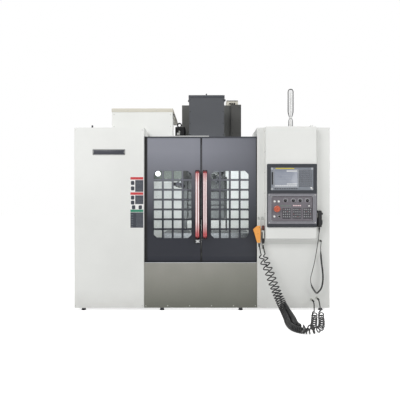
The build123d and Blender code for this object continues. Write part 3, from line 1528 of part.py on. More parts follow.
# Hooks and fittings: the gun pegs, the handwheel bracket, the cable gland
# and two bulkhead fittings low on the right cabinet.
air_x = door_x1 + 14.0
wash_x = door_x1 + 55.0
gun_depth = 45.0
gun_y = y_front - gun_depth
peg_z = floor_gap + 933.0
fitting_reach = 34.0
air_fitting = (x_right - 137.0, floor_gap + 105.0)
wash_fitting = (x_right - 191.0, floor_gap + 88.0)
gland_spot = (x_right - 102.0, floor_gap + 700.0)
mpg_x0 = pod_right + 17.0
mpg_low = floor_gap + 845.0
mpg_high = floor_gap + 1014.0
mpg_y0 = y_front - 90.0
mpg_y1 = y_front - 12.0
with BuildPart() as hooks:
    with BuildSketch(Plane.XZ.offset(-y_front)):
        with Locations((air_x + 2, peg_z), (wash_x, peg_z)):
            RectangleRounded(22, 30, 4)
    extrude(amount=4)
    with BuildSketch(Plane.XZ.offset(-y_front + 4)):
        with Locations((air_x + 2, peg_z), (wash_x, peg_z)):
            Circle(4)
    extrude(amount=gun_depth + 4)
    with BuildSketch(Plane.XZ.offset(-y_front + gun_depth + 8)):
        with Locations((air_x + 2, peg_z), (wash_x, peg_z)):
            Circle(7)
    extrude(amount=4)
    with BuildSketch(Plane.XZ.offset(-y_front)):
        with Locations(air_fitting, wash_fitting):
            RegularPolygon(radius=15, side_count=6)
    extrude(amount=14)
    with BuildSketch(Plane.XZ.offset(-y_front + 14)):
        with Locations(air_fitting, wash_fitting):
            Circle(9)
    extrude(amount=fitting_reach - 14)
    with BuildSketch(Plane.XZ.offset(-y_front)):
        with Locations(gland_spot):
            RegularPolygon(radius=13, side_count=6)
    extrude(amount=10)
    with BuildSketch(Plane.XZ.offset(-y_front + 10)):
        with Locations(gland_spot):
            Circle(8)
    extrude(amount=12)
    with BuildSketch(Plane.XY.offset(mpg_high - 70)):
        with Locations(((pod_right + mpg_x0) / 2.0, (mpg_y0 + mpg_y1) / 2.0 + 8)):
            Rectangle(mpg_x0 - pod_right, 40)
    extrude(amount=50)
hooks.part.label = "hooks_and_fittings"
export_step(hooks.part, "parts/hooks_and_fittings.step")

# Handwheel pendant: a rounded housing with its face to the right.
mpg_thick = 34.0
mpg_x1 = mpg_x0 + mpg_thick
mpg_mid = (mpg_y0 + mpg_y1) / 2.0
wheel_z = mpg_low + 50.0
selector_z = mpg_low + 138.0
cable_exit = (mpg_x0 + mpg_thick / 2.0, mpg_mid, mpg_low - 14)
with BuildPart() as pendant:
    with BuildSketch(Plane.YZ.offset(mpg_x0)):
        with Locations((mpg_mid, (mpg_low + mpg_high) / 2.0)):
            RectangleRounded(mpg_y1 - mpg_y0, mpg_high - mpg_low, 12)
    extrude(amount=mpg_thick)
    chamfer(pendant.faces().sort_by(Axis.X)[-1].outer_wire().edges(), length=4)
    with BuildSketch(Plane.YZ.offset(mpg_x1)):
        with Locations((mpg_mid, wheel_z), (mpg_mid - 19, selector_z), (mpg_mid + 19, selector_z)):
            Circle(4 + shaft_clearance)
    extrude(amount=-10, mode=Mode.SUBTRACT)
    with BuildSketch(Plane.XY.offset(mpg_low - 14)):
        with Locations((mpg_x0 + mpg_thick / 2.0, mpg_mid)):
            Circle(7)
    extrude(amount=15)
pendant.part.label = "handwheel_pendant"
export_step(pendant.part, "parts/handwheel_pendant.step")

# Handwheel with its crank knob, and the two selectors above it.
with BuildPart() as wheel:
    with BuildSketch(Plane.YZ.offset(mpg_x1 + button_gap)):
        with Locations((mpg_mid, wheel_z)):
            Circle(32)
    extrude(amount=9)
    chamfer(wheel.edges().group_by(Axis.X)[-1], length=2)
    with BuildSketch(Plane.YZ.offset(mpg_x1 + button_gap + 9)):
        with Locations((mpg_mid + 19, wheel_z)):
            Circle(6)
    extrude(amount=10, taper=8)
    with BuildSketch(Plane.YZ.offset(mpg_x1 + button_gap)):
        with Locations((mpg_mid, wheel_z)):
            Circle(4)
    extrude(amount=-9)
wheel.part.label = "handwheel"
export_step(wheel.part, "parts/handwheel.step")


def pendant_selector(y):
    with BuildPart() as dial:
        with BuildSketch(Plane.YZ.offset(mpg_x1 + button_gap)):
            with Locations((y, selector_z)):
                Circle(12)
        extrude(amount=6, taper=6)
        with BuildSketch(Plane.YZ.offset(mpg_x1 + button_gap + 6)):
            with Locations((y, selector_z)):
                Rectangle(6, 20)
        extrude(amount=9, taper=5)
        with BuildSketch(Plane.YZ.offset(mpg_x1 + button_gap)):
            with Locations((y, selector_z)):
                Circle(4)
        extrude(amount=-9)
    return dial.part


with BuildPart() as axis_selector:
    add(pendant_selector(mpg_mid - 19))
axis_selector.part.label = "axis_selector"
export_step(axis_selector.part, "parts/axis_selector.step")

with BuildPart() as step_selector:
    add(pendant_selector(mpg_mid + 19))
step_selector.part.label = "step_selector"
export_step(step_selector.part, "parts/step_selector.step")

# Air blow gun: a moulded body and handle, a thin nozzle pointing left and a
# wire loop over the peg.
gun_top = floor_gap + 859.0
air_low = floor_gap + 689.0
lever_half = 7.0
lever_gap = 0.3
lever_pin = 2.0
cheek = 2.5
air_pivot = (air_x - 17.0, gun_top - 44.0)
wash_low = floor_gap + 671.0
wash_pivot = (gun_y - 21.0, wash_low + 132.0)
with BuildPart() as air_gun:
    with BuildSketch(Plane.XZ.offset(-gun_y - 11)):
        with BuildLine():
            Polyline(
                (air_x - 20, gun_top - 8),
                (air_x - 6, gun_top),
                (air_x + 12, gun_top - 4),
                (air_x + 15, gun_top - 40),
                (air_x + 13, air_low + 24),
                (air_x + 8, air_low + 10),
                (air_x - 8, air_low + 10),
                (air_x - 11, air_low + 24),
                (air_x - 5, gun_top - 46),
                (air_x - 20, gun_top - 34),
                close=True,
            )
        make_face()
    extrude(amount=22)
    chamfer(air_gun.edges().filter_by(Axis.Y), length=2)
    with BuildSketch(Plane.XY.offset(air_low)):
        with Locations((air_x, gun_y)):
            Circle(8)
    extrude(amount=12)
    with BuildSketch(Plane.XZ.offset(-gun_y)):
        with BuildLine():
            Polyline(
                (air_x - 18, gun_top - 14),
                (air_x - 59, gun_top - 43),
                (air_x - 62, gun_top - 39),
                (air_x - 18, gun_top - 6),
                close=True,
            )
        make_face()
    extrude(amount=4, both=True)
    with BuildSketch(Plane.XZ.offset(-gun_y)):
        with Locations((air_x + 2, (gun_top + peg_z) / 2.0 + 2)):
            SlotOverall(peg_z - gun_top + 22, 17, rotation=90)
            SlotOverall(peg_z - gun_top + 14, 10, rotation=90, mode=Mode.SUBTRACT)
    extrude(amount=2, both=True)
    for side in (-1, 1):
        with BuildSketch(Plane.XZ.offset(-gun_y + side * (lever_half + lever_gap + cheek / 2.0))):
            with Locations(air_pivot):
                Circle(6)
            with Locations((air_pivot[0] + 4, air_pivot[1] + 6)):
                Rectangle(12, 12)
        extrude(amount=cheek / 2.0, both=True)
    with BuildSketch(Plane.XZ.offset(-gun_y)):
        with Locations(air_pivot):
            Circle(lever_pin)
    extrude(amount=lever_half + lever_gap + cheek, both=True)
air_gun.part.label = "air_gun"
export_step(air_gun.part, "parts/air_gun.step")

# Its trigger: a lever in front of the handle.
with BuildPart() as air_trigger:
    with BuildSketch(Plane.XZ.offset(-gun_y)):
        with BuildLine():
            Polyline(
                (air_x - 21, gun_top - 40),
                (air_x - 13, gun_top - 43),
                (air_x - 14, gun_top - 52),
                (air_x - 22, gun_top - 102),
                (air_x - 26, gun_top - 114),
                (air_x - 29, gun_top - 110),
                (air_x - 26, gun_top - 72),
                close=True,
            )
        make_face()
        with Locations(air_pivot):
            Circle(lever_pin + shaft_clearance, mode=Mode.SUBTRACT)
    extrude(amount=lever_half, both=True)
air_trigger.part.label = "air_gun_trigger"
export_step(air_trigger.part, "parts/air_gun_trigger.step")

# Coolant wash gun: round handle, collar and short bent outlet.
with BuildPart() as wash_gun:
    with BuildSketch(Plane.XY.offset(wash_low)):
        with Locations((wash_x, gun_y)):
            Circle(9)
    extrude(amount=12)
    with BuildSketch(Plane.XY.offset(wash_low + 12)):
        with Locations((wash_x, gun_y)):
            Circle(12)
    extrude(amount=110, taper=-1)
    with BuildSketch(Plane.XY.offset(wash_low + 122)):
        with Locations((wash_x, gun_y)):
            Circle(17)
    extrude(amount=18)
    with BuildSketch(Plane.XY.offset(wash_low + 140)):
        with Locations((wash_x, gun_y)):
            Circle(13)
    extrude(amount=gun_top - wash_low - 140)
    fillet(wash_gun.edges().group_by(Axis.Z)[-1], radius=6)
    with BuildSketch(Plane.XZ.offset(-gun_y)):
        with Locations((wash_x, (gun_top + peg_z) / 2.0 + 2)):
            SlotOverall(peg_z - gun_top + 22, 17, rotation=90)
            SlotOverall(peg_z - gun_top + 14, 10, rotation=90, mode=Mode.SUBTRACT)
    extrude(amount=2, both=True)
    for side in (-1, 1):
        with BuildSketch(Plane.YZ.offset(wash_x + side * (lever_half + lever_gap + cheek / 2.0))):
            with Locations(wash_pivot):
                Circle(6)
            with Locations((wash_pivot[0] + 5, wash_pivot[1])):
                Rectangle(10, 12)
        extrude(amount=cheek / 2.0, both=True)
    with BuildSketch(Plane.YZ.offset(wash_x)):
        with Locations(wash_pivot):
            Circle(lever_pin)
    extrude(amount=lever_half + lever_gap + cheek, both=True)
wash_gun.part.label = "wash_gun"
export_step(wash_gun.part, "parts/wash_gun.step")

with BuildPart() as wash_trigger:
    with BuildSketch(Plane.YZ.offset(wash_x)):
        with BuildLine():
            Polyline(
                (gun_y - 17.5, wash_low + 136),
                (gun_y - 25, wash_low + 136),
                (gun_y - 28, wash_low + 60),
                (gun_y - 23, wash_low + 58),
                (gun_y - 18.5, wash_low + 120),
                close=True,
            )
        make_face()
        with Locations(wash_pivot):
            Circle(lever_pin + shaft_clearance, mode=Mode.SUBTRACT)
    extrude(amount=lever_half, both=True)
wash_trigger.part.label = "wash_gun_trigger"
export_step(wash_trigger.part, "parts/wash_gun_trigger.step")


# Routes of the free hoses and the pendant's cable. Each list holds points
# (distance right of the cabinet's left edge, depth behind the front sheet,
# height) that the centre line passes near; every corner gets the largest
# arc that its two runs allow.
def corner_radii(points):
    radii = []
    for before, here, after in zip(points, points[1:], points[2:]):
        first = here - before
        second = after - here
        half = radians(first.get_angle(second)) / 2.0
        radii.append(0.45 * min(first.length, second.length) / tan(half))
    return radii


def route(points):
    return [Vector(door_x1 + x, y_front + depth, z) for x, depth, z in points]


def tube(points, radius, name):
    radii = corner_radii(points)
    print(name, "radii", [round(r) for r in radii])
    with BuildPart() as run:
        with BuildLine() as line:
            FilletPolyline(*points, radius=radii)
        with BuildSketch(Plane(line.line @ 0, z_dir=line.line % 0)):
            Circle(radius)
        sweep()
    length = sum(edge.length for edge in line.edges())
    print(name, "length", round(length), "fill", round(run.part.volume / (3.14159265 * radius**2 * length), 4))
    return run.part


air_coil_route = route([
    (22, -112, 606), (30, -123, 548), (60, -146, 480), (90, -163, 405), (112, -178, 328),
    (144, -202, 245), (179, -236, 150), (216, -292, 70), (228, -380, 31), (217, -480, 31),
    (209, -590, 31), (224, -704, 31), (296, -778, 31), (394, -772, 31), (468, -700, 31),
    (503, -592, 31), (535, -480, 31), (561, -372, 31), (589, -268, 36), (604, -200, 50),
])
wash_coil_route = route([
    (69, -64, 606), (77, -75, 548), (107, -97, 480), (137, -113, 405), (159, -127, 328),
    (191, -151, 245), (227, -184, 150), (266, -238, 70), (291, -322, 31), (286, -425, 31),
    (275, -530, 31), (276, -622, 31), (302, -684, 31), (358, -704, 31), (410, -670, 31),
    (430, -599, 31), (463, -490, 31), (493, -382, 31), (522, -280, 36), (537, -214, 50),
])
air_first = air_coil_route[0] - (air_coil_route[1] - air_coil_route[0]).normalized() * 34
wash_first = wash_coil_route[0] - (wash_coil_route[1] - wash_coil_route[0]).normalized() * 34
air_last = air_coil_route[-1] + (air_coil_route[-1] - air_coil_route[-2]).normalized() * 40
wash_last = wash_coil_route[-1] + (wash_coil_route[-1] - wash_coil_route[-2]).normalized() * 40

with BuildPart() as air_hose:
    add(tube(air_coil_route, coil_radius, "air coil"))
    add(tube(
        [Vector(air_x, gun_y, air_low), Vector(air_x, gun_y, air_low - 20),
         Vector(air_x + 2, gun_y - 28, air_low - 44), air_first, air_coil_route[0]],
        hose_radius, "air tail"))
    add(tube(
        [air_coil_route[-1], air_last, Vector(air_fitting[0] - 1, y_front - 104, 114),
         Vector(air_fitting[0], y_front - 66, air_fitting[1]),
         Vector(air_fitting[0], y_front - fitting_reach, air_fitting[1])],
        hose_radius, "air end"))
air_hose.part.label = "air_hose"
export_step(air_hose.part, "parts/air_hose.step")

with BuildPart() as wash_hose:
    add(tube(wash_coil_route, coil_radius, "wash coil"))
    add(tube(
        [Vector(wash_x, gun_y, wash_low), Vector(wash_x, gun_y, wash_low - 18),
         wash_first, wash_coil_route[0]],
        hose_radius, "wash tail"))
    add(tube(
        [wash_coil_route[-1], wash_last, Vector(wash_fitting[0] - 1, y_front - 108, 100),
         Vector(wash_fitting[0], y_front - 68, wash_fitting[1]),
         Vector(wash_fitting[0], y_front - fitting_reach, wash_fitting[1])],
        hose_radius, "wash end"))
wash_hose.part.label = "wash_hose"
export_step(wash_hose.part, "parts/wash_hose.step")

cable_coil_route = route([
    (620, -52, 205), (650, -50, 234), (666, -48, 290), (672, -46, 350), (669, -44, 412),
    (662, -42, 470), (655, -41, 530), (651, -40, 590), (649, -40, 640),
])
cable_first = cable_coil_route[0] - (cable_coil_route[1] - cable_coil_route[0]).normalized() * 24
cable_last = cable_coil_route[-1] + (cable_coil_route[-1] - cable_coil_route[-2]).normalized() * 22
with BuildPart() as mpg_cable:
    add(tube(cable_coil_route, cable_coil_radius, "cable coil"))
    add(tube(
        [Vector(*cable_exit), Vector(cable_exit[0], cable_exit[1], cable_exit[2] - 40)]
        + route([
            (622, -52, 745), (608, -53, 660), (593, -54, 572), (576, -55, 486),
            (554, -55, 405), (538, -55, 340), (548, -54, 278), (571, -53, 232),
        ])
        + [cable_first, cable_coil_route[0]],
        cable_radius, "cable drop"))
    add(tube(
        [cable_coil_route[-1], cable_last, Vector(gland_spot[0] - 1, y_front - 46, gland_spot[1] - 14),
         Vector(gland_spot[0], y_front - 37, gland_spot[1]),
         Vector(gland_spot[0], y_front - 22, gland_spot[1])],
        cable_radius, "cable end"))
mpg_cable.part.label = "handwheel_cable"
export_step(mpg_cable.part, "parts/handwheel_cable.step")

print("front plane at y", y_front, "door travel", door_travel, "seam x", seam_x)
print("nose z", nose_z, "table top z", table_high, "disc z", disc_z, "fixed cover top", fixed_cover_top)
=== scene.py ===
# %% [markdown]
# # A machining centre for its portrait
# The CAD part already gives every casting, sheet, rail and knob its size and
# place. This lesson dresses it: paint, brushed steel, curled hoses, screws,
# seals and lamps. Every step starts with a few words on the real thing and
# on the way that was chosen to make it.

# %% Load the machine
import bpy
import bmesh
import numpy as np
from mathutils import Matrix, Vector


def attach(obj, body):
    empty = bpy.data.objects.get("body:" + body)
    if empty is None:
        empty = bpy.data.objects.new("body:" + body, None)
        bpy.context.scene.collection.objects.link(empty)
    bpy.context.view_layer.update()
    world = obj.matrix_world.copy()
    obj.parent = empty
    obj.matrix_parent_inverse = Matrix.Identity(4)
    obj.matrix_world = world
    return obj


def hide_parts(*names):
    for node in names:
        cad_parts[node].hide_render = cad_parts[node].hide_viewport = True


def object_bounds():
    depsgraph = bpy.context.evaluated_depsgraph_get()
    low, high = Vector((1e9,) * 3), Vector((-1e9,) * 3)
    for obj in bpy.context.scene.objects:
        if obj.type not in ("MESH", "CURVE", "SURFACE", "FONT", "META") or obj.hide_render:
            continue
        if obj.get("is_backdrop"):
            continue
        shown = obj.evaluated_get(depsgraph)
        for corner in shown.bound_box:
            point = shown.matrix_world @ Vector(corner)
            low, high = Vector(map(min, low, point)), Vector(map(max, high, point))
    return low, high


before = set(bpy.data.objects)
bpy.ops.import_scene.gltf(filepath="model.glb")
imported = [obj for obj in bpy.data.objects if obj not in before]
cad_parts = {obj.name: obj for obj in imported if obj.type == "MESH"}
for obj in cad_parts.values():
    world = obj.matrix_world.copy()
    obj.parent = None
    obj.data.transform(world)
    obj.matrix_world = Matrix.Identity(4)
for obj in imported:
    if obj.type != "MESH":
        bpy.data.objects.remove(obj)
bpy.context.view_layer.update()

# %% [markdown]
# ## Where things are
# The machine stands on z = 0, its front sheets are one flat plane, and the
# door opening lies between the two cabinets. Nearly every trim piece is
# placed from these few planes, so they get names first. All in metres.

# %% Main planes
front = -1.03275
spindle_x, spindle_y = 0.05, front + 0.69
door_right = 0.574
door_face = front + 0.030
pod_face = front - 0.090
cabinet_top = 1.907
wall_x = 1.330
window_z = 1.106
print("front plane", front, "door face", door_face)

# %% [markdown]
# ## The eye
# The photograph was taken straight from the front, with the lens at chest
# height and rather near: the inside of the tall hood shows a little smaller
# than the doors. A 37 mm lens 4.3 m away gives the same picture. The tiny
# shift centres the frame without tilting the upright edges.

# %% Camera
eye = bpy.data.objects.new("eye", bpy.data.cameras.new("eye"))
eye.location = (0.031, front - 4.3, 1.122)
eye.rotation_euler = (np.pi / 2, 0, 0)
eye.data.sensor_width = 36
eye.data.lens = 37.2
eye.data.shift_x = -0.0125
eye.data.shift_y = 0.0075
eye.data.clip_end = 200
bpy.context.scene.collection.objects.link(eye)
bpy.context.scene.camera = eye
bpy.context.scene.view_settings.view_transform = "Standard"
print("lens", eye.data.lens, "mm")

# %% [markdown]
# ## Shapes as arrays
# Sheet-metal trim, buttons and screws are simple surfaces. Each is a grid of
# points worked out in one go: rows run along the piece, columns run round
# it. The helpers below turn such grids into closed meshes. Faces are put in
# order by Blender, so that every one of them looks outwards.

# %% Grid to mesh
pieces_made = {}


def grid_faces(rows, columns, first=0, loop=False):
    """Quads between neighbouring rings: ring r and ring r + 1, all columns, the last joined to the first."""
    r, c = np.meshgrid(np.arange(rows if loop else rows - 1), np.arange(columns), indexing="ij")
    after, beside = (r + 1) % rows, (c + 1) % columns
    corners = np.stack(
        [r * columns + c, r * columns + beside, after * columns + beside, after * columns + c], -1
    )
    return (corners.reshape(-1, 4) + first).tolist()


def shell(rings, loop=False):
    """A stack of rings as points and faces. Unless the stack closes on itself, a flat cap closes each end."""
    rows, columns = rings.shape[:2]
    faces = grid_faces(rows, columns, loop=loop)
    if not loop:
        faces.append(list(range(columns))[::-1])
        faces.append(list(range((rows - 1) * columns, rows * columns)))
    return rings.reshape(-1, 3), faces


def repeated(points, faces, shifts):
    """The same small shape at every shift: point i of copy k is point i plus shift k."""
    shifts = np.atleast_2d(np.asarray(shifts, float))
    many = (points[None] + shifts[:, None]).reshape(-1, 3)
    listed = [[corner + k * len(points) for corner in face] for k in range(len(shifts)) for face in faces]
    return many, listed


def joined(*shapes):
    """Several shapes in one list of points and one list of faces."""
    points, faces, count = [], [], 0
    for shape_points, shape_faces in shapes:
        points.append(shape_points)
        faces += [[corner + count for corner in face] for face in shape_faces]
        count += len(shape_points)
    return np.concatenate(points), faces


def piece(name, shape, body, finish, smooth=35, outward=True):
    """Makes the mesh, turns its faces outwards, keeps edges above the given angle sharp, lets it ride."""
    points, faces = shape
    mesh = bpy.data.meshes.new(name)
    mesh.from_pydata(np.asarray(points).tolist(), [], faces)
    if outward:
        work = bmesh.new()
        work.from_mesh(mesh)
        bmesh.ops.recalc_face_normals(work, faces=work.faces)
        work.to_mesh(mesh)
        work.free()
    mesh.shade_smooth()
    mesh.set_sharp_from_angle(angle=np.radians(smooth))
    made = bpy.data.objects.new(name, mesh)
    bpy.context.scene.collection.objects.link(made)
    made.data.materials.append(finish)
    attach(made, body)
    pieces_made[name] = len(faces)
    return made


# %% [markdown]
# Plates, caps, keys and screws all sit on some flat face of the machine. The
# next helpers draw them flat, as rings seen from above, and then stand them
# up on that face. `sides` says for each face which way is right, up and out.

# %% Outlines and stacks
sides = {
    "front": ((1, 0, 0), (0, 0, 1), (0, -1, 0)),
    "back": ((-1, 0, 0), (0, 0, 1), (0, 1, 0)),
    "right": ((0, 1, 0), (0, 0, 1), (1, 0, 0)),
    "left": ((0, -1, 0), (0, 0, 1), (-1, 0, 0)),
    "top": ((1, 0, 0), (0, 1, 0), (0, 0, 1)),
    "under": ((1, 0, 0), (0, -1, 0), (0, 0, -1)),
}


def stood(flat, side):
    """Flat points (right, up, out) turned onto one side of the machine."""
    return flat @ np.array(sides[side], float)


def rounded(width, height, corner, steps=4):
    """A rectangle with quarter-circle corners: corner centre plus radius times (cos, sin)."""
    corner = max(min(corner, width / 2 - 1e-5, height / 2 - 1e-5), 1e-5)
    turn = np.linspace(0, np.pi / 2, steps + 1)
    start = np.repeat(np.arange(4) * np.pi / 2, steps + 1)
    angle = start + np.tile(turn, 4)
    sign = np.repeat([[1, 1], [-1, 1], [-1, -1], [1, -1]], steps + 1, axis=0)
    middle = sign * [width / 2 - corner, height / 2 - corner]
    return middle + corner * np.stack([np.cos(angle), np.sin(angle)], -1)


def plate(width, height, levels, corner=0.002, steps=4):
    """Rings of a rounded rectangle, each drawn in by an inset at its own level: [(inset, level), ...]."""
    rings = []
    for inset, level in levels:
        outline = rounded(width - 2 * inset, height - 2 * inset, max(corner - inset, 0.0001), steps)
        rings.append(np.column_stack([outline, np.full(len(outline), level)]))
    return shell(np.array(rings))


def turned(profile, count=20, six=()):
    """A profile of (radius, level) turned about its own axis. Rows named in `six` are drawn as hexagons."""
    angle = np.arange(count) * 2 * np.pi / count
    hexagon = np.cos(np.pi / 6) / np.cos(angle % (np.pi / 3) - np.pi / 6)
    rings = []
    for row, (radius, level) in enumerate(profile):
        reach = radius * (hexagon if row in six else np.ones(count))
        rings.append(np.stack([reach * np.cos(angle), reach * np.sin(angle), np.full(count, level)], -1))
    return shell(np.array(rings))


def on(side, shape, spots):
    """A flat shape stood up on one side and repeated at the spots."""
    return repeated(stood(shape[0], side), shape[1], spots)


def fitted(name, side, shape, spots, finish, body="frame"):
    """A flat shape stood up on one side at the spots, as one piece riding on the body."""
    return piece(name, on(side, shape, spots), body, finish)


def slab(low, high, edge=0.0015):
    """A box between two corners with its edges softened: a rounded plate with four rings."""
    low, high = np.array(low, float), np.array(high, float)
    size = high - low
    edge = min(edge, size.min() * 0.45)
    levels = [(edge, 0), (0, edge), (0, size[2] - edge), (edge, size[2])]
    points, faces = plate(size[0], size[1], levels, edge, 1)
    return points + [(low[0] + high[0]) / 2, (low[1] + high[1]) / 2, low[2]], faces


def swept(path, profile, up=(0, 0, 1), loop=False):
    """A profile carried along a path: point = path + across * u + above * v, both square to the path."""
    path, profile = np.asarray(path, float), np.asarray(profile, float)
    if loop:
        along = np.roll(path, -1, 0) - np.roll(path, 1, 0)
    else:
        along = np.gradient(path, axis=0)
    along /= np.linalg.norm(along, axis=1, keepdims=True)
    up = np.broadcast_to(np.asarray(up, float), path.shape)
    across = np.cross(along, up)
    across /= np.linalg.norm(across, axis=1, keepdims=True)
    above = np.cross(across, along)
    rings = path[:, None] + across[:, None] * profile[None, :, :1] + above[:, None] * profile[None, :, 1:]
    return shell(rings, loop)


def circle(radius, count=8):
    """Points round a circle."""
    angle = np.arange(count) * 2 * np.pi / count
    return radius * np.stack([np.cos(angle), np.sin(angle)], -1)


print("helpers ready")

# %% [markdown]
# ## Finishes
# A real machine has few finishes, but each has its own grain: powder coat
# has a fine orange peel and gets dusty near the floor, stainless sheet is
# brushed along its length, castings are filled, sprayed and still a little
# wavy, and moulded plastic has a faint leather. The small helpers below put
# nodes together, and each recipe is written once and used many times. The
# patterns read Object coordinates, so they stay put on the metal.

# %% Node helpers


def tone(red, green, blue):
    """A display colour, 0 to 255, as the linear colour that shaders use."""
    value = np.array([red, green, blue]) / 255.0
    linear = np.where(value <= 0.04045, value / 12.92, ((value + 0.055) / 1.055) ** 2.4)
    return (*linear.tolist(), 1.0)


def blank(name, slot):
    """A new material with its tree and its main shader."""
    material = bpy.data.materials.new(name)
    material.use_nodes = True
    material["slot"] = slot
    return material, material.node_tree, material.node_tree.nodes["Principled BSDF"]


def put(tree, kind, sockets=(), **settings):
    """Adds a node. A socket is given a plain value or the output of another node."""
    made = tree.nodes.new("ShaderNode" + kind)
    for key, value in settings.items():
        setattr(made, key, value)
    for key, value in dict(sockets).items():
        if isinstance(value, bpy.types.NodeSocket):
            tree.links.new(value, made.inputs[key])
        else:
            made.inputs[key].default_value = value
    return made


def place(tree, scale=(1, 1, 1), turn=(0, 0, 0)):
    """Object coordinates, stretched or turned."""
    where = put(tree, "TexCoord").outputs["Object"]
    return put(tree, "Mapping", {"Vector": where, "Scale": scale, "Rotation": turn}).outputs["Vector"]


def noise(tree, where, scale, detail=3.0, rough=0.55):
    """A noise pattern between 0 and 1, read at the given place."""
    return put(
        tree, "TexNoise", {"Vector": where, "Scale": scale, "Detail": detail, "Roughness": rough}
    ).outputs["Fac"]


def spread(tree, value, low, high, out_low, out_high):
    """Maps a value from one range to another and keeps it inside."""
    sockets = {"Value": value, "From Min": low, "From Max": high, "To Min": out_low, "To Max": out_high}
    return put(tree, "MapRange", sockets, clamp=True).outputs["Result"]


def mixed(tree, factor, first, second, kind="MIX"):
    """Blends colours: first * (1 - factor) + second * factor. MULTIPLY goes towards first * second."""
    made = put(tree, "Mix", data_type="RGBA", blend_type=kind)
    for index, value in ((0, factor), (6, first), (7, second)):
        if isinstance(value, bpy.types.NodeSocket):
            tree.links.new(value, made.inputs[index])
        else:
            made.inputs[index].default_value = value
    return made.outputs[2]


def bumped(tree, shader, height, distance, strength=1.0, under=None):
    """Bends the normals by a height pattern, on top of an earlier bump where one is given."""
    sockets = {"Height": height, "Distance": distance, "Strength": strength}
    if under is not None:
        sockets["Normal"] = under
    made = put(tree, "Bump", sockets).outputs["Normal"]
    tree.links.new(made, shader.inputs["Normal"])
    return made


def height_above_floor(tree):
    """The z of the point in Object coordinates, so its height above the floor at rest."""
    return put(tree, "SeparateXYZ", {"Vector": put(tree, "TexCoord").outputs["Object"]}).outputs["Z"]


print("node helpers ready")

# %% [markdown]
# Powder coat: an upper and a lower colour for the slow fade that soft light
# gives a tall sheet, a faint cloudiness, dust in the lowest hand's width,
# and an orange peel of two or three millimetres in the bump.

# %% Powder coat


def powder(
    name, slot, upper, lower, span=(0.1, 1.9), gloss=0.46, peel=380.0, depth=0.0004, coat=0.0, dust=0.3
):
    """Powder coat: a slow fade with height, faint clouds, dust at the foot, orange peel as bump."""
    material, tree, shader = blank(name, slot)
    where = place(tree)
    rise = height_above_floor(tree)
    fade = spread(tree, rise, span[0], span[1], 0, 1)
    colour = mixed(tree, fade, lower, upper)
    cloud = spread(tree, noise(tree, where, 1.7, 4), 0.3, 0.7, 0.0, 0.10)
    colour = mixed(tree, cloud, colour, (0.30, 0.30, 0.29, 1), "MULTIPLY")
    grime = noise(tree, where, 9.0, 5)
    low = spread(tree, rise, 0.03, 0.22, dust, 0.0)
    soiled = put(tree, "Math", {0: low, 1: grime}, operation="MULTIPLY").outputs[0]
    colour = mixed(tree, soiled, colour, (0.25, 0.23, 0.20, 1))
    tree.links.new(colour, shader.inputs["Base Color"])
    sheen = spread(tree, noise(tree, where, 14, 4), 0.3, 0.7, gloss - 0.05, gloss + 0.07)
    tree.links.new(sheen, shader.inputs["Roughness"])
    shader.inputs["Specular IOR Level"].default_value = 0.3
    shader.inputs["Coat Weight"].default_value = coat
    shader.inputs["Coat Roughness"].default_value = 0.12
    bumped(tree, shader, noise(tree, where, peel, 2), depth, 0.35)
    return material


white_paint = powder("white_powder", "white_paint", tone(232, 233, 230), tone(227, 228, 225))
liner_paint = powder("liner_white", "white_paint", tone(236, 238, 236), tone(205, 206, 202), (0.4, 1.6), 0.35)
# Painted reflection: the doors fade from a pale top to a dark foot, as the lamps' reflection does on
# semi-gloss paint.
door_paint = powder("door_grey", "door_paint", tone(135, 137, 146), tone(38, 40, 48), (0.92, 1.66), 0.42)
door_tree = door_paint.node_tree
door_shader = door_tree.nodes["Principled BSDF"]
door_colour = door_shader.inputs["Base Color"].links[0].from_socket
sideways = put(door_tree, "SeparateXYZ", {0: place(door_tree)}).outputs[0]
# Painted reflection: towards the right, the painted fade of the doors gives way to an even grey.
reflection_fade_right = spread(door_tree, sideways, -0.10, 0.55, 0.0, 0.48)
door_colour = mixed(door_tree, reflection_fade_right, door_colour, tone(62, 64, 70))
# Painted shade: the doors are darker below a line 0.56 m above the floor.
painted_shade_low = spread(door_tree, height_above_floor(door_tree), 0.5600, 0.5640, 0.35, 0.0)
door_tree.links.new(
    mixed(door_tree, painted_shade_low, door_colour, tone(22, 26, 40)), door_shader.inputs["Base Color"]
)
frame_paint = powder("frame_grey", "dark_sheet", tone(66, 68, 74), tone(44, 46, 52), gloss=0.45)
hood_paint = powder("hood_grey", "dark_sheet", tone(80, 82, 86), tone(72, 74, 78), (1.5, 2.4), 0.42)
duct_paint = powder("duct_grey", "dark_sheet", tone(78, 78, 76), tone(70, 70, 69), (1.2, 2.5), 0.45)
lid_paint = powder("lid_beige", "white_paint", tone(210, 206, 193), tone(204, 200, 187), (2.0, 2.2), 0.45)
cabinet_paint = powder("cabinet_grey", "cabinet_grey", tone(192, 193, 191), tone(180, 181, 179), gloss=0.45)
print("powder coats:", 8)

# %% [markdown]
# Castings are knifed with filler, sprayed and left slightly wavy, so their
# bump has a long wave and a coarse grain. Worn spots show a lighter primer.

# %% Painted castings


def cast_paint(name, colour, worn, gloss=0.5):
    """Painted casting: lighter worn spots, a long wave and a coarse grain as bump."""
    material, tree, shader = blank(name, "casting")
    where = place(tree)
    wave = noise(tree, where, 7, 3)
    grain = noise(tree, where, 210, 4)
    patch = spread(tree, noise(tree, where, 3.1, 6, 0.65), 0.60, 0.78, 0.0, 0.45)
    base = mixed(tree, patch, colour, worn)
    shade = spread(tree, wave, 0.3, 0.7, 0.0, 0.25)
    tree.links.new(mixed(tree, shade, base, (0.35, 0.35, 0.35, 1), "MULTIPLY"), shader.inputs["Base Color"])
    tree.links.new(spread(tree, grain, 0.3, 0.7, gloss - 0.08, gloss + 0.12), shader.inputs["Roughness"])
    long_wave = bumped(tree, shader, wave, 0.004, 0.5)
    bumped(tree, shader, grain, 0.0008, 0.6, long_wave)
    return material


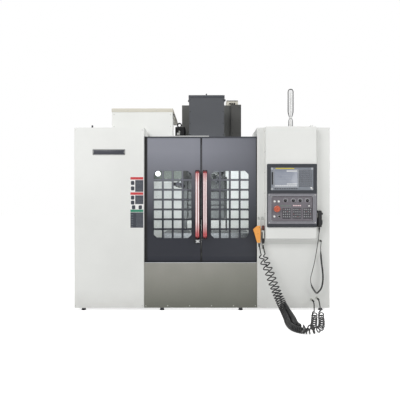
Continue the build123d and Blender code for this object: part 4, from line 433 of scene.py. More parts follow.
casting_paint = cast_paint("casting_grey", tone(96, 99, 98), tone(120, 122, 120))
column_paint = cast_paint("column_olive", tone(77, 78, 76), tone(90, 90, 88))
print("castings ready")

# %% [markdown]
# Brushed sheet: a noise that is stretched a hundredfold along the brushing
# leaves fine lines. The lines change the roughness more than the colour, and
# large soft clouds stand for the blurred reflections of a workshop.

# %% Steel


def brushed(
    name, slot, colour, cloudy, along=(1.2, 90, 90), rough=0.34, lines=26.0, foot=None, span=(0.05, 0.5)
):
    """Brushed metal: stretched streaks, large soft clouds, and another colour at the foot if given."""
    material, tree, shader = blank(name, slot)
    streak = noise(tree, place(tree, along), lines, 5, 0.7)
    cloud = noise(tree, place(tree), 1.9, 2)
    colours = mixed(tree, spread(tree, cloud, 0.35, 0.65, 0, 1), colour, cloudy)
    if foot is not None:
        colours = mixed(tree, spread(tree, height_above_floor(tree), *span, 1, 0), colours, foot)
    fine = spread(tree, streak, 0.3, 0.7, 0.0, 0.22)
    tree.links.new(mixed(tree, fine, colours, (0.42, 0.42, 0.42, 1), "MULTIPLY"), shader.inputs["Base Color"])
    tree.links.new(spread(tree, streak, 0.3, 0.7, rough - 0.07, rough + 0.12), shader.inputs["Roughness"])
    shader.inputs["Metallic"].default_value = 1.0
    shader.inputs["Anisotropic"].default_value = 0.4
    bumped(tree, shader, streak, 0.0002, 0.25)
    return material


# Painted reflection: the foot colour makes the stainless darker towards the floor.
apron_steel = brushed(
    "apron_stainless", "stainless", tone(139, 138, 132), tone(129, 129, 122), rough=0.42,
    foot=tone(101, 102, 95),
)
cover_steel = brushed("cover_stainless", "stainless", tone(88, 90, 90), tone(78, 80, 80), (90, 90, 1.2))
ground_steel = brushed(
    "ground_steel", "steel", tone(176, 178, 180), tone(160, 162, 165), (60, 2, 60), 0.26, 40
)
zinc_steel = brushed("zinc_plated", "steel", tone(196, 196, 190), tone(182, 184, 180), (30, 30, 30), 0.30, 12)
dark_steel = brushed("blackened_steel", "steel", tone(62, 62, 66), tone(50, 50, 54), (30, 30, 30), 0.38, 12)
table_iron = brushed("milled_iron", "steel", tone(112, 114, 115), tone(100, 102, 104), (2, 60, 60), 0.42, 30)
print("steels ready")

# %% [markdown]
# Plastics and rubber: colour with a little mottle, and a fine leather that
# scatters the highlight. Gloss parts have a shallow grain and a clear coat.

# %% Plastics


def moulded(name, slot, colour, gloss=0.5, grain=900.0, depth=0.0003, coat=0.0, mottle=0.25):
    """Plastic or rubber: a mottled colour, a fine grain as bump, and a clear coat where wanted."""
    material, tree, shader = blank(name, slot)
    where = place(tree)
    cloud = spread(tree, noise(tree, where, 30, 4), 0.3, 0.7, 0.0, mottle)
    tree.links.new(mixed(tree, cloud, colour, (0.5, 0.5, 0.5, 1), "MULTIPLY"), shader.inputs["Base Color"])
    tree.links.new(
        spread(tree, noise(tree, where, 60, 3), 0.3, 0.7, gloss - 0.05, gloss + 0.08),
        shader.inputs["Roughness"],
    )
    shader.inputs["Specular IOR Level"].default_value = 0.35
    shader.inputs["Coat Weight"].default_value = coat
    shader.inputs["Coat Roughness"].default_value = 0.06
    bumped(tree, shader, noise(tree, where, grain, 2), depth, 0.4)
    return material


black_plastic = moulded("black_moulding", "black_plastic", tone(26, 26, 28), 0.48)
panel_plastic = moulded("panel_foil", "panel_grey", tone(116, 112, 118), 0.5, 1400, 0.0001)
panel_frame = moulded("panel_frame", "panel_grey", tone(130, 129, 135), 0.42, 700, 0.0001)
bezel_plastic = moulded("bezel_slate", "bezel_plastic", tone(46, 49, 55), 0.40, 600, 0.0002, 0.15)
screen_grey = moulded("screen_unit_grey", "bezel_plastic", tone(132, 137, 145), 0.45, 1200, 0.0001)
white_cap = moulded("white_cap", "lamp_plastic", tone(240, 240, 238), 0.25, 200, 0.0001, 0.4, 0.05)
red_gloss = moulded("red_gloss", "red_plastic", tone(150, 40, 44), 0.22, 300, 0.0001, 0.6, 0.15)
stop_red = moulded("stop_red", "estop_red", tone(186, 86, 62), 0.28, 500, 0.0001, 0.3, 0.1)
stop_yellow = moulded("stop_yellow", "orange_plastic", tone(238, 178, 96), 0.35, 500, 0.0001, 0.2, 0.1)


def two_tone(name, slot, colour, metal, level, gloss):
    """A moulding with a plated wire loop: above the level the colour is that of the metal."""
    material = moulded(name, slot, colour, gloss, 700, 0.0003, 0.2, 0.2)
    tree = material.node_tree
    shader = tree.nodes["Principled BSDF"]
    body = shader.inputs["Base Color"].links[0].from_socket
    loop = spread(tree, height_above_floor(tree), level, level + 0.001, 0, 1)
    tree.links.new(mixed(tree, loop, body, metal), shader.inputs["Base Color"])
    return material


gun_orange = two_tone("gun_orange", "orange_plastic", tone(242, 166, 80), tone(214, 216, 214), 0.8895, 0.34)
wash_black = two_tone("wash_black", "black_plastic", tone(30, 30, 31), tone(214, 216, 214), 0.8895, 0.45)
hose_rubber = moulded("hose_black", "hose", tone(24, 24, 25), 0.30, 1300, 0.0002, 0.25, 0.3)
seal_rubber = moulded("seal_rubber", "hose", tone(20, 20, 21), 0.62, 800, 0.0004)
print("plastics ready")

# %% [markdown]
# The panes are clear polycarbonate. A pane is nearly all gaps for light, so
# it is a see-through shader with a thin gloss on top that grows towards the
# edge of sight, as it does on every clear sheet.

# %% Clear pane and frosted lamp


def clear_sheet(name, slot, tint):
    """A see-through sheet whose gloss grows towards the edge of sight."""
    material, tree, shader = blank(name, slot)
    through = put(tree, "BsdfTransparent", {"Color": tint})
    shader.inputs["Base Color"].default_value = (0.02, 0.02, 0.02, 1)
    shader.inputs["Roughness"].default_value = 0.05
    facing = put(tree, "LayerWeight", {"Blend": 0.25}).outputs["Fresnel"]
    smear = noise(tree, place(tree), 6, 4)
    share = put(
        tree, "Math", {0: facing, 1: spread(tree, smear, 0.3, 0.7, 0.03, 0.09)}, operation="ADD"
    ).outputs[0]
    mix = put(tree, "MixShader", {0: share, 1: through.outputs[0], 2: shader.outputs[0]})
    tree.links.new(mix.outputs[0], tree.nodes["Material Output"].inputs["Surface"])
    return material


pane_clear = clear_sheet("pane_clear", "pane", (0.955, 0.975, 0.985, 1))
lamp_frost = moulded("lamp_frost", "lamp_plastic", tone(226, 229, 228), 0.22, 120, 0.0002, 0.5, 0.08)
lamp_frost.node_tree.nodes["Principled BSDF"].inputs["Subsurface Weight"].default_value = 0.35
lamp_frost.node_tree.nodes["Principled BSDF"].inputs["Subsurface Radius"].default_value = (0.02, 0.02, 0.02)
print("pane and lamp ready")

# %% [markdown]
# ## Paint the CAD pieces
# Every node keeps its shape and gets the finish of its real surface.

# %% Finish of every node
finishes = {
    white_paint: [
        "left_cabinet", "right_cabinet", "control_pod", "magazine_cover", "magazine_frame", "work_light"
    ],
    liner_paint: ["work_area_liner"],
    door_paint: ["left_door", "right_door"],
    frame_paint: ["door_frame"],
    hood_paint: ["head_cover"],
    duct_paint: ["column_duct"],
    casting_paint: ["base_casting", "saddle", "head_casting"],
    column_paint: ["column_casting"],
    cover_steel: ["z_cover_upper", "z_cover_middle", "z_cover_lower"],
    ground_steel: ["y_guides", "x_guides", "z_guides", "spindle", "arm_sleeve", "door_latch"],
    zinc_steel: ["magazine_disc", "hooks_and_fittings", "air_gun_trigger", "wash_gun_trigger"],
    dark_steel: ["leveling_feet", "change_pot", "changer_arm"],
    table_iron: ["table"],
    cabinet_paint: ["power_cabinet", "power_cabinet_door"],
    black_plastic: [
        "changer_drive", "handwheel_pendant", "handwheel", "axis_selector", "step_selector",
        "feed_knob", "rapid_knob", "spindle_knob", "mode_knob", "key_switch",
    ],
    bezel_plastic: ["panel_bezel"],
    screen_grey: ["screen_unit"],
    panel_plastic: ["operator_plate"],
    stop_red: ["estop_button"],
    gun_orange: ["air_gun"],
    wash_black: ["wash_gun"],
    red_gloss: ["left_handle", "right_handle"],
    pane_clear: ["left_window", "right_window"],
    lamp_frost: ["signal_lamp"],
}
for finish, names in finishes.items():
    for name in names:
        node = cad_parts[name]
        if not node.material_slots:
            node.data.materials.append(finish)
        for slot in node.material_slots:
            slot.material = finish
print("painted", sum(len(names) for names in finishes.values()), "nodes")

# %% [markdown]
# ## Curly hoses
# Two curled air and coolant hoses hang from the guns, slump onto the floor,
# turn round and go back up to their fittings. A curled hose is a helix whose
# pitch changes: it is stretched where it hangs and closed where it lies. The
# middle line is a smooth spline through the same points as in the CAD part.
# The helix is worked out from that line as arrays.

# %% Helix along a spline


def middle_line(points, name):
    """The smooth line near the route's points, read back from a NURBS curve without any bevel."""
    curve = bpy.data.curves.new(name, "CURVE")
    curve.dimensions = "3D"
    spline = curve.splines.new("NURBS")
    spline.points.add(len(points) - 1)
    spline.points.foreach_set("co", np.column_stack([points, np.ones(len(points))]).ravel())
    spline.order_u = 3
    spline.use_endpoint_u = True
    spline.resolution_u = 24
    holder = bpy.data.objects.new(name, curve)
    bpy.context.scene.collection.objects.link(holder)
    bpy.context.view_layer.update()
    flat = bpy.data.meshes.new_from_object(holder.evaluated_get(bpy.context.evaluated_depsgraph_get()))
    line = np.zeros(len(flat.vertices) * 3)
    flat.vertices.foreach_get("co", line)
    bpy.data.objects.remove(holder)
    return line.reshape(-1, 3)


def travelled(line):
    """Distance along a line at each of its points."""
    return np.r_[0, np.cumsum(np.linalg.norm(np.diff(line, axis=0), axis=1))]


def resampled(line, marks):
    """Points of the line at the marked distances: x, y and z are each interpolated."""
    along = travelled(line)
    return np.stack([np.interp(marks, along, line[:, axis]) for axis in range(3)], -1)


def curled(line, start, end, radius, thickness, pitches, per_turn=18, lean=(-0.6, 0.55, 0.58)):
    """
    Centre line of the curled hose. The phase grows by 2 pi in every pitch, and
    point = line + radius * (side * cos(phase) + other side * sin(phase)).
    The radius swells from nothing over 60 mm at both ends of the curl, and the
    pitch is never so small that turns would pass through each other in a bend.
    """
    marks = np.linspace(0, travelled(line)[-1], 3000)
    steady = resampled(line, marks)
    ahead = np.gradient(steady, marks, axis=0)
    ahead /= np.linalg.norm(ahead, axis=1, keepdims=True)
    bend = np.linalg.norm(np.gradient(ahead, marks, axis=0), axis=1)
    bend = np.convolve(np.pad(bend, 40, "edge"), np.ones(81) / 81, "valid")
    share = (marks - start) / (end - start)
    pitch = np.interp(share, [p[0] for p in pitches], [p[1] for p in pitches])
    pitch = np.maximum(pitch, 1.06 * thickness / np.clip(1 - radius * bend, 0.3, 1))
    inside = np.clip(np.minimum(marks - start, end - marks) / 0.06, 0, 1)
    inside = inside * inside * (3 - 2 * inside)
    pitch = np.where(inside > 0, pitch, 4.0)
    phase = np.r_[0, np.cumsum(np.diff(marks) * 2 * np.pi / ((pitch[1:] + pitch[:-1]) / 2))]
    need = phase * per_turn / (2 * np.pi) + marks / 0.010
    wanted = np.linspace(0, need[-1], int(need[-1]) + 1)
    at = np.interp(wanted, need, marks)
    steps = np.interp(at, marks, phase)
    middle = resampled(line, at)
    forward = np.stack([np.interp(at, marks, ahead[:, axis]) for axis in range(3)], -1)
    side = np.cross(forward, np.array(lean))
    side /= np.linalg.norm(side, axis=1, keepdims=True)
    other = np.cross(forward, side)
    swell = (radius * np.interp(at, marks, inside))[:, None]
    arrow = side * np.cos(steps)[:, None] + other * np.sin(steps)[:, None]
    return middle + swell * arrow, arrow


def hose(name, points, start_run, end_run, radius, thickness, pitches, exit_first, body="frame"):
    """The curled hose as a mesh tube round its own centre line; its real length is printed and returned."""
    line = middle_line(points, name)
    length = travelled(line)[-1]
    path, arrow = curled(line, start_run, length - end_run, radius, thickness, pitches)
    along = np.gradient(path, axis=0)
    along /= np.linalg.norm(along, axis=1, keepdims=True)
    first = arrow - along * np.sum(arrow * along, 1, keepdims=True)
    first /= np.linalg.norm(first, axis=1, keepdims=True)
    second = np.cross(along, first)
    ring = circle(thickness / 2, 8)
    rings = path[:, None] + first[:, None] * ring[None, :, :1] + second[:, None] * ring[None, :, 1:]
    made = piece(name, shell(rings), body, hose_rubber, 80)
    real = travelled(path)[-1]
    ordered = path if exit_first else path[::-1]
    print(name, "line", round(length, 3), "m, uncurled", round(real, 2), "m")
    return made, ordered, real


# %% Routes of the three cords


def route(points):
    """Points in millimetres: right of the cabinet's edge, behind the front sheet, above the floor."""
    return np.array(points, float) / 1000 + [door_right, front, 0]


air_route = route([
    (14, -45, 719), (14, -45, 699), (16, -73, 675), (17, -106, 639), (22, -112, 606), (30, -123, 548),
    (60, -146, 480), (90, -163, 405), (112, -178, 328), (144, -202, 245), (179, -236, 150), (216, -292, 70),
    (228, -380, 31), (217, -480, 31), (209, -590, 31), (224, -704, 31), (296, -778, 31), (394, -772, 31),
    (468, -700, 31), (503, -592, 31), (535, -480, 31), (561, -372, 31), (589, -268, 36), (604, -200, 50),
    (612, -162, 58), (618, -104, 114), (619, -66, 135), (619, -34, 135),
])
wash_route = route([
    (55, -45, 701), (55, -45, 683), (64, -58, 639), (69, -64, 606), (77, -75, 548), (107, -97, 480),
    (137, -113, 405), (159, -127, 328), (191, -151, 245), (227, -184, 150), (266, -238, 70), (291, -322, 31),
    (286, -425, 31), (275, -530, 31), (276, -622, 31), (302, -684, 31), (358, -704, 31), (410, -670, 31),
    (430, -599, 31), (463, -490, 31), (493, -382, 31), (522, -280, 36), (537, -214, 50), (546, -176, 58),
    (564, -108, 100), (565, -68, 118), (565, -34, 118),
])
cable_route = route([
    (631, -51, 861), (631, -51, 821), (622, -52, 745), (608, -53, 660), (593, -54, 572), (576, -55, 486),
    (554, -55, 405), (538, -55, 340), (548, -54, 278), (571, -53, 232), (603, -53, 188), (620, -52, 205),
    (650, -50, 234), (666, -48, 290), (672, -46, 350), (669, -44, 412), (662, -42, 470), (655, -41, 530),
    (651, -40, 590), (649, -40, 640), (648, -40, 662), (653, -46, 716), (654, -37, 730), (654, -22, 730),
])
air_pitch = [
    (0, 0.066), (0.12, 0.058), (0.24, 0.030), (0.31, 0.0135), (0.61, 0.0135), (0.68, 0.062), (1, 0.085)
]
wash_pitch = [(0, 0.060), (0.20, 0.048), (0.33, 0.0135), (0.59, 0.0135), (0.66, 0.060), (1, 0.080)]
air, air_path, air_length = hose("air_curl", air_route, 0.125, 0.185, 0.0235, 0.012, air_pitch, False)
wash, wash_path, wash_length = hose("wash_curl", wash_route, 0.085, 0.190, 0.0235, 0.012, wash_pitch, False)
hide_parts("air_hose")
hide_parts("wash_hose")

# %% [markdown]
# The handwheel's cable is thinner: it hangs down plain, turns, and goes up
# again as a tight little curl to its gland.

# %% Handwheel cable
cable, cable_path, cable_length = hose(
    "pendant_cable", cable_route, 0.560, 0.105, 0.0062, 0.007, [(0, 0.0085), (1, 0.0085)], True
)
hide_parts("handwheel_cable")

# %% [markdown]
# ## Screws
# Sheet-metal covers are held by hundreds of small screws. One pan head with
# a six-sided socket is drawn as a turned profile whose two inner rows are
# hexagons, and then it is repeated wherever a screw sits.

# %% Screw head


def screws(name, side, spots, body, radius=0.0045, finish=None):
    """Turned profile of (radius, level): a washer foot, a domed head and a hexagon socket sunk in it."""
    r = radius
    head = [
        (1.25 * r, 0), (1.25 * r, 0.15 * r), (r, 0.2 * r), (0.92 * r, 0.45 * r), (0.7 * r, 0.6 * r),
        (0.48 * r, 0.6 * r), (0.46 * r, 0.15 * r),
    ]
    return piece(name, on(side, turned(head, 12, (5, 6)), spots), body, finish or zinc_steel, 40)


def lattice(*axes):
    """All combinations of the given x, y and z values as spots."""
    return np.stack(np.meshgrid(*axes, indexing="ij"), -1).reshape(-1, 3)


def frame_plate(outer, inner, thickness, corner=0.004, hole_corner=0.003):
    """A flat frame: outer outline low and high, inner outline high and low, closed on itself."""
    out_line, in_line = rounded(*outer, corner), rounded(*inner, hole_corner)
    rows = [(out_line, 0), (out_line, thickness), (in_line, thickness), (in_line, 0)]
    rings = np.array([np.column_stack([line, np.full(len(line), level)]) for line, level in rows])
    return shell(rings, loop=True)


print("one head has", len(turned([(1, 0)] * 7, 12)[1]), "faces")

# %% [markdown]
# ## Doors
# The two doors run in a pocket behind the cabinets. Black rubber profiles close the outer edges and the seam
# in the middle, so that no chips or coolant get out, and a sweep seals the lower edge. Their black also
# serves as painted shade for the dark gaps beside, between and under the doors. All are slim softened bars on
# the door skins.

# %% Door rubbers and painted gap shade
door_foot, door_head = 0.4055, 1.8135
# Painted shade: the black bars also fill the shaded gaps beside, between and under the doors.
for side_name, outer, seam, sweep in (
    ("left", (-0.6015, -0.5735), (-0.0175, -0.0098), (-0.602, -0.010)),
    ("right", (0.5655, 0.5735), (-0.0072, 0.0005), (-0.007, 0.573)),
):
    bars = [
        slab((low, door_face - depth, door_foot), (high, door_face + 0.0002, door_head), edge)
        for (low, high), depth, edge in ((outer, 0.0045, 0.0018), (seam, 0.0028, 0.0012))
    ]
    piece(side_name + "_door_rubber_gap_shade", joined(*bars), side_name + "_door", seal_rubber)
    sweep_bar = slab((sweep[0], door_face - 0.003, 0.405), (sweep[1], door_face + 0.0002, 0.417), 0.001)
    piece(side_name + "_door_sweep_gap_shade", sweep_bar, side_name + "_door", seal_rubber)
print("rubbers", 6)

# %% [markdown]
# Each window is held from behind by a clamped pane. On the face, a shallow
# pressed edge runs round the whole grid of openings, with its corners cut
# like those of the grid. It is a small half-round profile carried round the
# outline.

# %% Pressed window edge


def cut_outline(width, height, cut):
    """A rectangle with cut corners, drawn as eight points."""
    w, h = width / 2, height / 2
    return np.array([
        (w, -h + cut), (w, h - cut), (w - cut, h), (-w + cut, h),
        (-w, h - cut), (-w, -h + cut), (-w + cut, -h), (w - cut, -h),
    ])


def edge_round(name, centre_x, body):
    """The pressed edge of one window: a half-round bead carried along the cut outline."""
    outline = cut_outline(0.411, 0.720, 0.040)
    path = stood(np.column_stack([outline, np.zeros(8)]), "front") + [centre_x, door_face, window_z]
    bead = np.array(
        [(-0.0022, 0.0), (-0.0015, 0.0011), (0, 0.0015), (0.0015, 0.0011), (0.0022, 0.0), (0, -0.0003)]
    )
    return piece(name, swept(path, bead, up=(0, -1, 0), loop=True), body, door_paint, 50)


windows = (("left", -0.3075), ("right", 0.2905))
for side_name, centre_x in windows:
    edge_round(side_name + "_window_edge", centre_x, side_name + "_door")

# %% [markdown]
# Painted shade darkens the bars of the grid: a thin black frame sits in each opening. One small frame is made
# and repeated in every opening.

# %% Painted shade round the openings
opening, bar = 0.0865, 0.0170
# Painted shade: a thin black frame in each opening darkens the bars of the grid.
opening_shade = frame_plate((opening, opening), (opening - 0.0042, opening - 0.0042), 0.0010, 0.0005, 0.0040)
for side_name, centre_x in windows:
    columns = centre_x + (opening + bar) * (np.arange(4) - 1.5)
    rows = window_z + (opening + bar) * (np.arange(7) - 3)
    opening_shades = on("front", opening_shade, lattice(columns, [door_face + 0.0036], rows))
    piece(side_name + "_window_opening_shade", opening_shades, side_name + "_door", seal_rubber)
print("opening_shades", 2 * len(columns) * len(rows))

# %% [markdown]
# The handles are lacquered red bows with a painted highlight: two pale strips with a dark red groove between
# them. The painted highlight fades into the red at both ends, so its colour follows the height.

# %% Painted handle highlights


def painted_highlight_finish():
    """Painted highlight: pale strips that fade into the red at both ends of the handle, by height."""
    material, tree, shader = blank("handle_painted_highlight", "red_plastic")
    rise = height_above_floor(tree)
    foot = spread(tree, rise, 0.80, 0.93, 1, 0)
    head = spread(tree, rise, 1.33, 1.44, 0, 0.75)
    ends = put(tree, "Math", {0: foot, 1: head}, operation="ADD").outputs[0]
    cloud = spread(tree, noise(tree, place(tree, (1, 1, 0.3)), 40, 3), 0.3, 0.7, 0.0, 0.35)
    pale = mixed(tree, cloud, tone(250, 238, 238), tone(240, 206, 208))
    tree.links.new(mixed(tree, ends, pale, tone(190, 70, 74)), shader.inputs["Base Color"])
    tree.links.new(spread(tree, cloud, 0, 0.35, 0.2, 0.3), shader.inputs["Roughness"])
    shader.inputs["Coat Weight"].default_value = 0.5
    bumped(tree, shader, noise(tree, place(tree), 90, 2), 0.0001, 0.3)
    return material


# Painted highlight: pale strips on each handle that fade into the red at both ends.
painted_highlight = painted_highlight_finish()
handle_face = -1.0677
for side_name, centre in (("left", -0.048), ("right", 0.031)):
    strip = plate(0.0140, 0.655, [(0.0022, 0), (0.0006, 0.0012), (0.0026, 0.0022)], 0.004)
    spots = [(centre - 0.0105, handle_face, 1.104), (centre + 0.0105, handle_face, 1.104)]
    fitted(side_name + "_handle_painted_highlight", "front", strip, spots, painted_highlight, side_name + "_door")
    line = plate(0.0045, 0.480, [(0.001, 0), (0, 0.0014), (0.001, 0.002)], 0.002)
    fitted(
        side_name + "_handle_line", "front", line, (centre, handle_face, 1.072), red_gloss,
        side_name + "_door",
    )
    feet_spots = [(centre, -1.0056, 0.762), (centre, -1.0056, 1.446)]
    collar = plate(0.048, 0.040, [(0, -0.0028), (0, 0.0), (0.0015, 0.0012)], 0.008)
    fitted(side_name + "_handle_feet", "front", collar, feet_spots, black_plastic, side_name + "_door")
print("painted handle highlights", 2)

# %% [markdown]
# The latch has a bright cross handle on a black base. The base here is a
# moulded shell that caps the boss of the door.

# %% Latch base
latch_x, latch_z = -0.0455, 0.723
base_shell = plate(0.0712, 0.0452, [(0, 0), (0, 0.0120), (0.0030, 0.0162)], 0.006)
fitted("latch_base", "front", base_shell, (latch_x, door_face, latch_z), black_plastic, "left_door")
hub = turned([(0.0095, 0), (0.0095, 0.0015), (0.006, 0.003), (0.003, 0.003), (0.003, 0.001)], 16, (3, 4))
fitted("latch_hub", "front", hub, (latch_x, -1.0259, latch_z), zinc_steel, "door_latch")

# %% [markdown]
# ## Left cabinet front
# A bare dark plate stands where such a machine carries its name, with a fine
# raised edge and two rivets. Below it, beside the door, is the place of the
# instruction card: plain coloured heads over ruled grey fields, with plain
# rounded blocks where pictures would be.

# %% Name place and card
name_x, name_z = -0.969, 1.651
name_ground = moulded("name_ground", "panel_grey", tone(58, 60, 68), 0.4, 900, 0.0001)
card_white = moulded("card_white", "white_paint", tone(232, 232, 230), 0.4, 500, 0.00005, 0.0, 0.06)
card_red = moulded("card_red", "red_plastic", tone(196, 66, 70), 0.42, 500, 0.00005, 0.0, 0.12)
card_green = moulded("card_green", "panel_grey", tone(52, 132, 104), 0.42, 500, 0.00005, 0.0, 0.12)
card_grey = moulded("card_grey", "panel_grey", tone(58, 62, 70), 0.5, 500, 0.00005, 0.0, 0.2)
card_rule = moulded("card_rule", "panel_grey", tone(132, 136, 142), 0.5, 500, 0.00005, 0.0, 0.1)
fitted(
    "name_place", "front", plate(0.338, 0.060, [(0, 0), (0, 0.0012), (0.001, 0.0018)], 0.004),
    (name_x, front, name_z), name_ground,
)
rim = frame_plate((0.330, 0.052), (0.324, 0.046), 0.0006)
fitted("name_rim", "front", rim, (name_x, front - 0.0017, name_z), zinc_steel)
screws("name_rivets", "front", lattice([-1.128, -0.810], [front - 0.0017], [name_z]), "frame", 0.003)
card_x = -0.67775
fitted(
    "card_back", "front", plate(0.1425, 0.5355, [(0, 0), (0, 0.0006), (0.0004, 0.0009)], 0.003),
    (card_x, front, 1.12575), card_white,
)
card_face = front - 0.0009
for name, width, height, aside, level, finish in (
    ("card_head_first", 0.134, 0.026, 0, 1.3785, card_red),
    ("card_head_second", 0.134, 0.026, 0, 1.2200, card_red),
    ("card_head_third", 0.134, 0.026, 0, 1.0410, card_green),
    ("card_text_first", 0.084, 0.122, 0.025, 1.2995, card_grey),
    ("card_text_second", 0.084, 0.092, 0.025, 1.1560, card_grey),
    ("card_text_third", 0.134, 0.160, 0, 0.9445, card_grey),
):
    card_field = plate(width, height, [(0, 0), (0.0003, 0.0004)], 0.001)
    fitted(name, "front", card_field, (card_x + aside, card_face, level), finish)
print_face = card_face - 0.0004
foil = [(0, 0), (0.0002, 0.0003)]
rule = plate(0.070, 0.0022, foil, 0.0005, 1)
rule_spots = np.r_[
    lattice([card_x + 0.025], [print_face], np.arange(1.250, 1.355, 0.0125)),
    lattice([card_x + 0.025], [print_face], np.arange(1.120, 1.198, 0.0125)),
    lattice([card_x + 0.028], [print_face], np.arange(0.874, 1.020, 0.0125)),
]
fitted("card_rules", "front", rule, rule_spots, card_rule)
tick = plate(0.020, 0.0040, foil, 0.0005, 1)
tick_spots = lattice([card_x - 0.050], [print_face], np.arange(0.874, 1.020, 0.0250))
fitted("card_ticks", "front", tick, tick_spots, card_rule)
picture = plate(0.036, 0.042, [(0, 0), (0.0003, 0.0004)], 0.010)
picture_spots = np.r_[
    lattice([card_x - 0.044], [card_face], [1.331, 1.274, 1.178, 1.126]),
    lattice([card_x - 0.034, card_x + 0.036], [card_face], [1.0775]),
]
fitted("card_pictures", "front", picture, picture_spots, card_grey)
print("card fields", 6, "ruled lines", len(rule_spots))

# %% [markdown]
# ## Magazine hood
# The tool magazine stands in a white box with a loose beige lid. The lid is
# folded 36 mm down all round and overlaps the box by a few millimetres. It
# is a stack of rounded outlines.

# %% Magazine lid
lid_low, lid_high = 2.134, 2.1735
lid_size = (0.684, 0.798)
rows = [(0, 0), (0, lid_high - lid_low - 0.003), (0.003, lid_high - lid_low)]
outer_shape = plate(*lid_size, rows, 0.010)
lid = outer_shape[0] + [-0.666, -0.34275, lid_low], outer_shape[1]
piece("magazine_lid", lid, "frame", lid_paint)
lid_screws = lattice(np.linspace(-0.985, -0.347, 5), [-0.7417], [2.150])
screws("magazine_lid_screws", "front", lid_screws, "frame", 0.0042)
side_screws = lattice([-1.008], np.linspace(-0.70, 0.02, 5), [2.150])
screws("magazine_lid_side_screws", "left", side_screws, "frame", 0.0042)
bracket = joined(
    slab((-0.328, -0.730, 2.060), (-0.325, -0.690, 2.132), 0.001),
    slab((-0.328, -0.7305, 2.108), (-0.308, -0.690, 2.112), 0.001),
    slab((-0.312, -0.7305, 2.085), (-0.308, -0.690, 2.112), 0.001),
)
piece("magazine_bracket", bracket, "frame", dark_steel)
edge_screws = lattice([-0.98, -0.352], [-0.7380], np.linspace(1.445, 2.105, 6))
screws("magazine_face_screws", "front", edge_screws, "frame", 0.0042)
print("lid", lid_size)

# %% [markdown]
# ## Head cover
# The tall grey hood of the head has a cap with a turned-down edge, a lifting
# stud on top and small hinge brackets near the upper corners. Its sides are
# pierced by pressed louvres that let the motor breathe. A louvre is a wedge:
# a profile carried along a straight path.

# %% Cap, brackets and louvres


def louvres(name, side, spots, body, width, finish, height=0.012, depth=0.004):
    """A wedge that is flush at its upper edge and stands off at its lower edge, carried across its width."""
    u = np.linspace(-width / 2, width / 2, 5)
    rise = np.array([0.0, -0.25, -0.7, -1.0, -1.0]) * height
    off = np.array([0.0, 0.45, 0.95, 1.0, 0.0]) * depth
    taper = np.array([0.0, 0.8, 1.0, 0.8, 0.0])
    rings = np.stack([
        np.broadcast_to(u[:, None], (5, 5)),
        np.broadcast_to(rise[None] + height / 2, (5, 5)),
        0.0002 + off[None] * (0.15 + 0.85 * taper[:, None]),
    ], -1)
    return piece(name, on(side, shell(rings), spots), body, finish, 30)


cap = plate(0.421, 0.655, [(0.001, 0), (0, 0.001), (0, 0.024), (0.003, 0.0275)], 0.009)
piece("hood_cap", (cap[0] + [0.0495, -0.20025, 2.3495], cap[1]), "head", frame_paint)
stud = turned(
    [
        (0.011, 0), (0.011, 0.003), (0.006, 0.004), (0.006, 0.012), (0.009, 0.014), (0.009, 0.019),
        (0.005, 0.022),
    ],
    16,
)
fitted("hood_stud", "top", stud, (0.048, -0.500, 2.3768), dark_steel, "head")
brackets = joined(
    slab((0.2552, -0.520, 2.300), (0.2592, -0.490, 2.352), 0.001),
    slab((0.2592, -0.5195, 2.306), (0.2705, -0.5145, 2.330), 0.001),
    slab((-0.1602, -0.520, 2.300), (-0.1562, -0.490, 2.345), 0.001),
    slab((-0.1665, -0.5195, 2.300), (-0.1602, -0.5145, 2.320), 0.001),
)
piece("hood_brackets", brackets, "head", dark_steel)
for side, face in (("right", 0.2551), ("left", -0.1561)):
    vent_spots = lattice([face], np.linspace(-0.40, 0.0, 4), 1.70 + 0.026 * np.arange(10))
    louvres("hood_louvres_" + side, side, vent_spots, "head", 0.085, hood_paint)
hood_screws = lattice([-0.142, 0.241], [-0.5229], np.linspace(1.51, 2.32, 7))
screws("hood_screws", "front", hood_screws, "head", 0.0045, dark_steel)
for side, face in (("right", 0.2552), ("left", -0.1562)):
    side_spots = lattice([face], [-0.505, 0.105], np.linspace(1.51, 2.26, 6))
    screws("hood_screws_" + side, side, side_spots, "head", 0.0045, dark_steel)
print("louvres", 2 * len(vent_spots))

# %% [markdown]
# ## Cable channel and connection box
# The pale box on top of the cable channel is a cast lid with four screws and
# glands at its side. A folded edge strip closes the channel.

# %% Connection box
box_cover = plate(0.1585, 0.1515, [(0, 0), (0, 0.060), (0.002, 0.062), (0.006, 0.0745)], 0.010)
piece("box_cover", (box_cover[0] + [0.399, 0.33725, 2.4366], box_cover[1]), "frame", lid_paint)
screws("box_screws", "top", lattice([0.335, 0.463], [0.277, 0.397], [2.5086]), "frame", 0.004)
gland = turned([(0.013, 0), (0.013, 0.006), (0.010, 0.007), (0.010, 0.016), (0.006, 0.020)], 12, (0, 1))
fitted("box_glands", "front", gland, lattice([0.370, 0.399, 0.428], [0.2616], [2.465]), black_plastic)
piece("channel_edge", slab((0.5065, 0.1952, 1.1625), (0.5135, 0.1990, 2.4375), 0.001), "frame", seal_rubber)
channel_screws = lattice([0.400, 0.488], [0.1971], np.linspace(1.20, 2.40, 8))
screws("channel_screws", "front", channel_screws, "frame", 0.0042, dark_steel)
channel_screws = lattice([0.5121], np.linspace(0.24, 0.62, 3), np.linspace(1.20, 2.40, 7))
screws("channel_side_screws", "right", channel_screws, "frame", 0.0042, dark_steel)
print("box done")

# %% [markdown]
# ## Changer drive
# The cam box of the tool changer is black, with a bolted flange, an oil
# window and a grey plug for the lifting sensor.

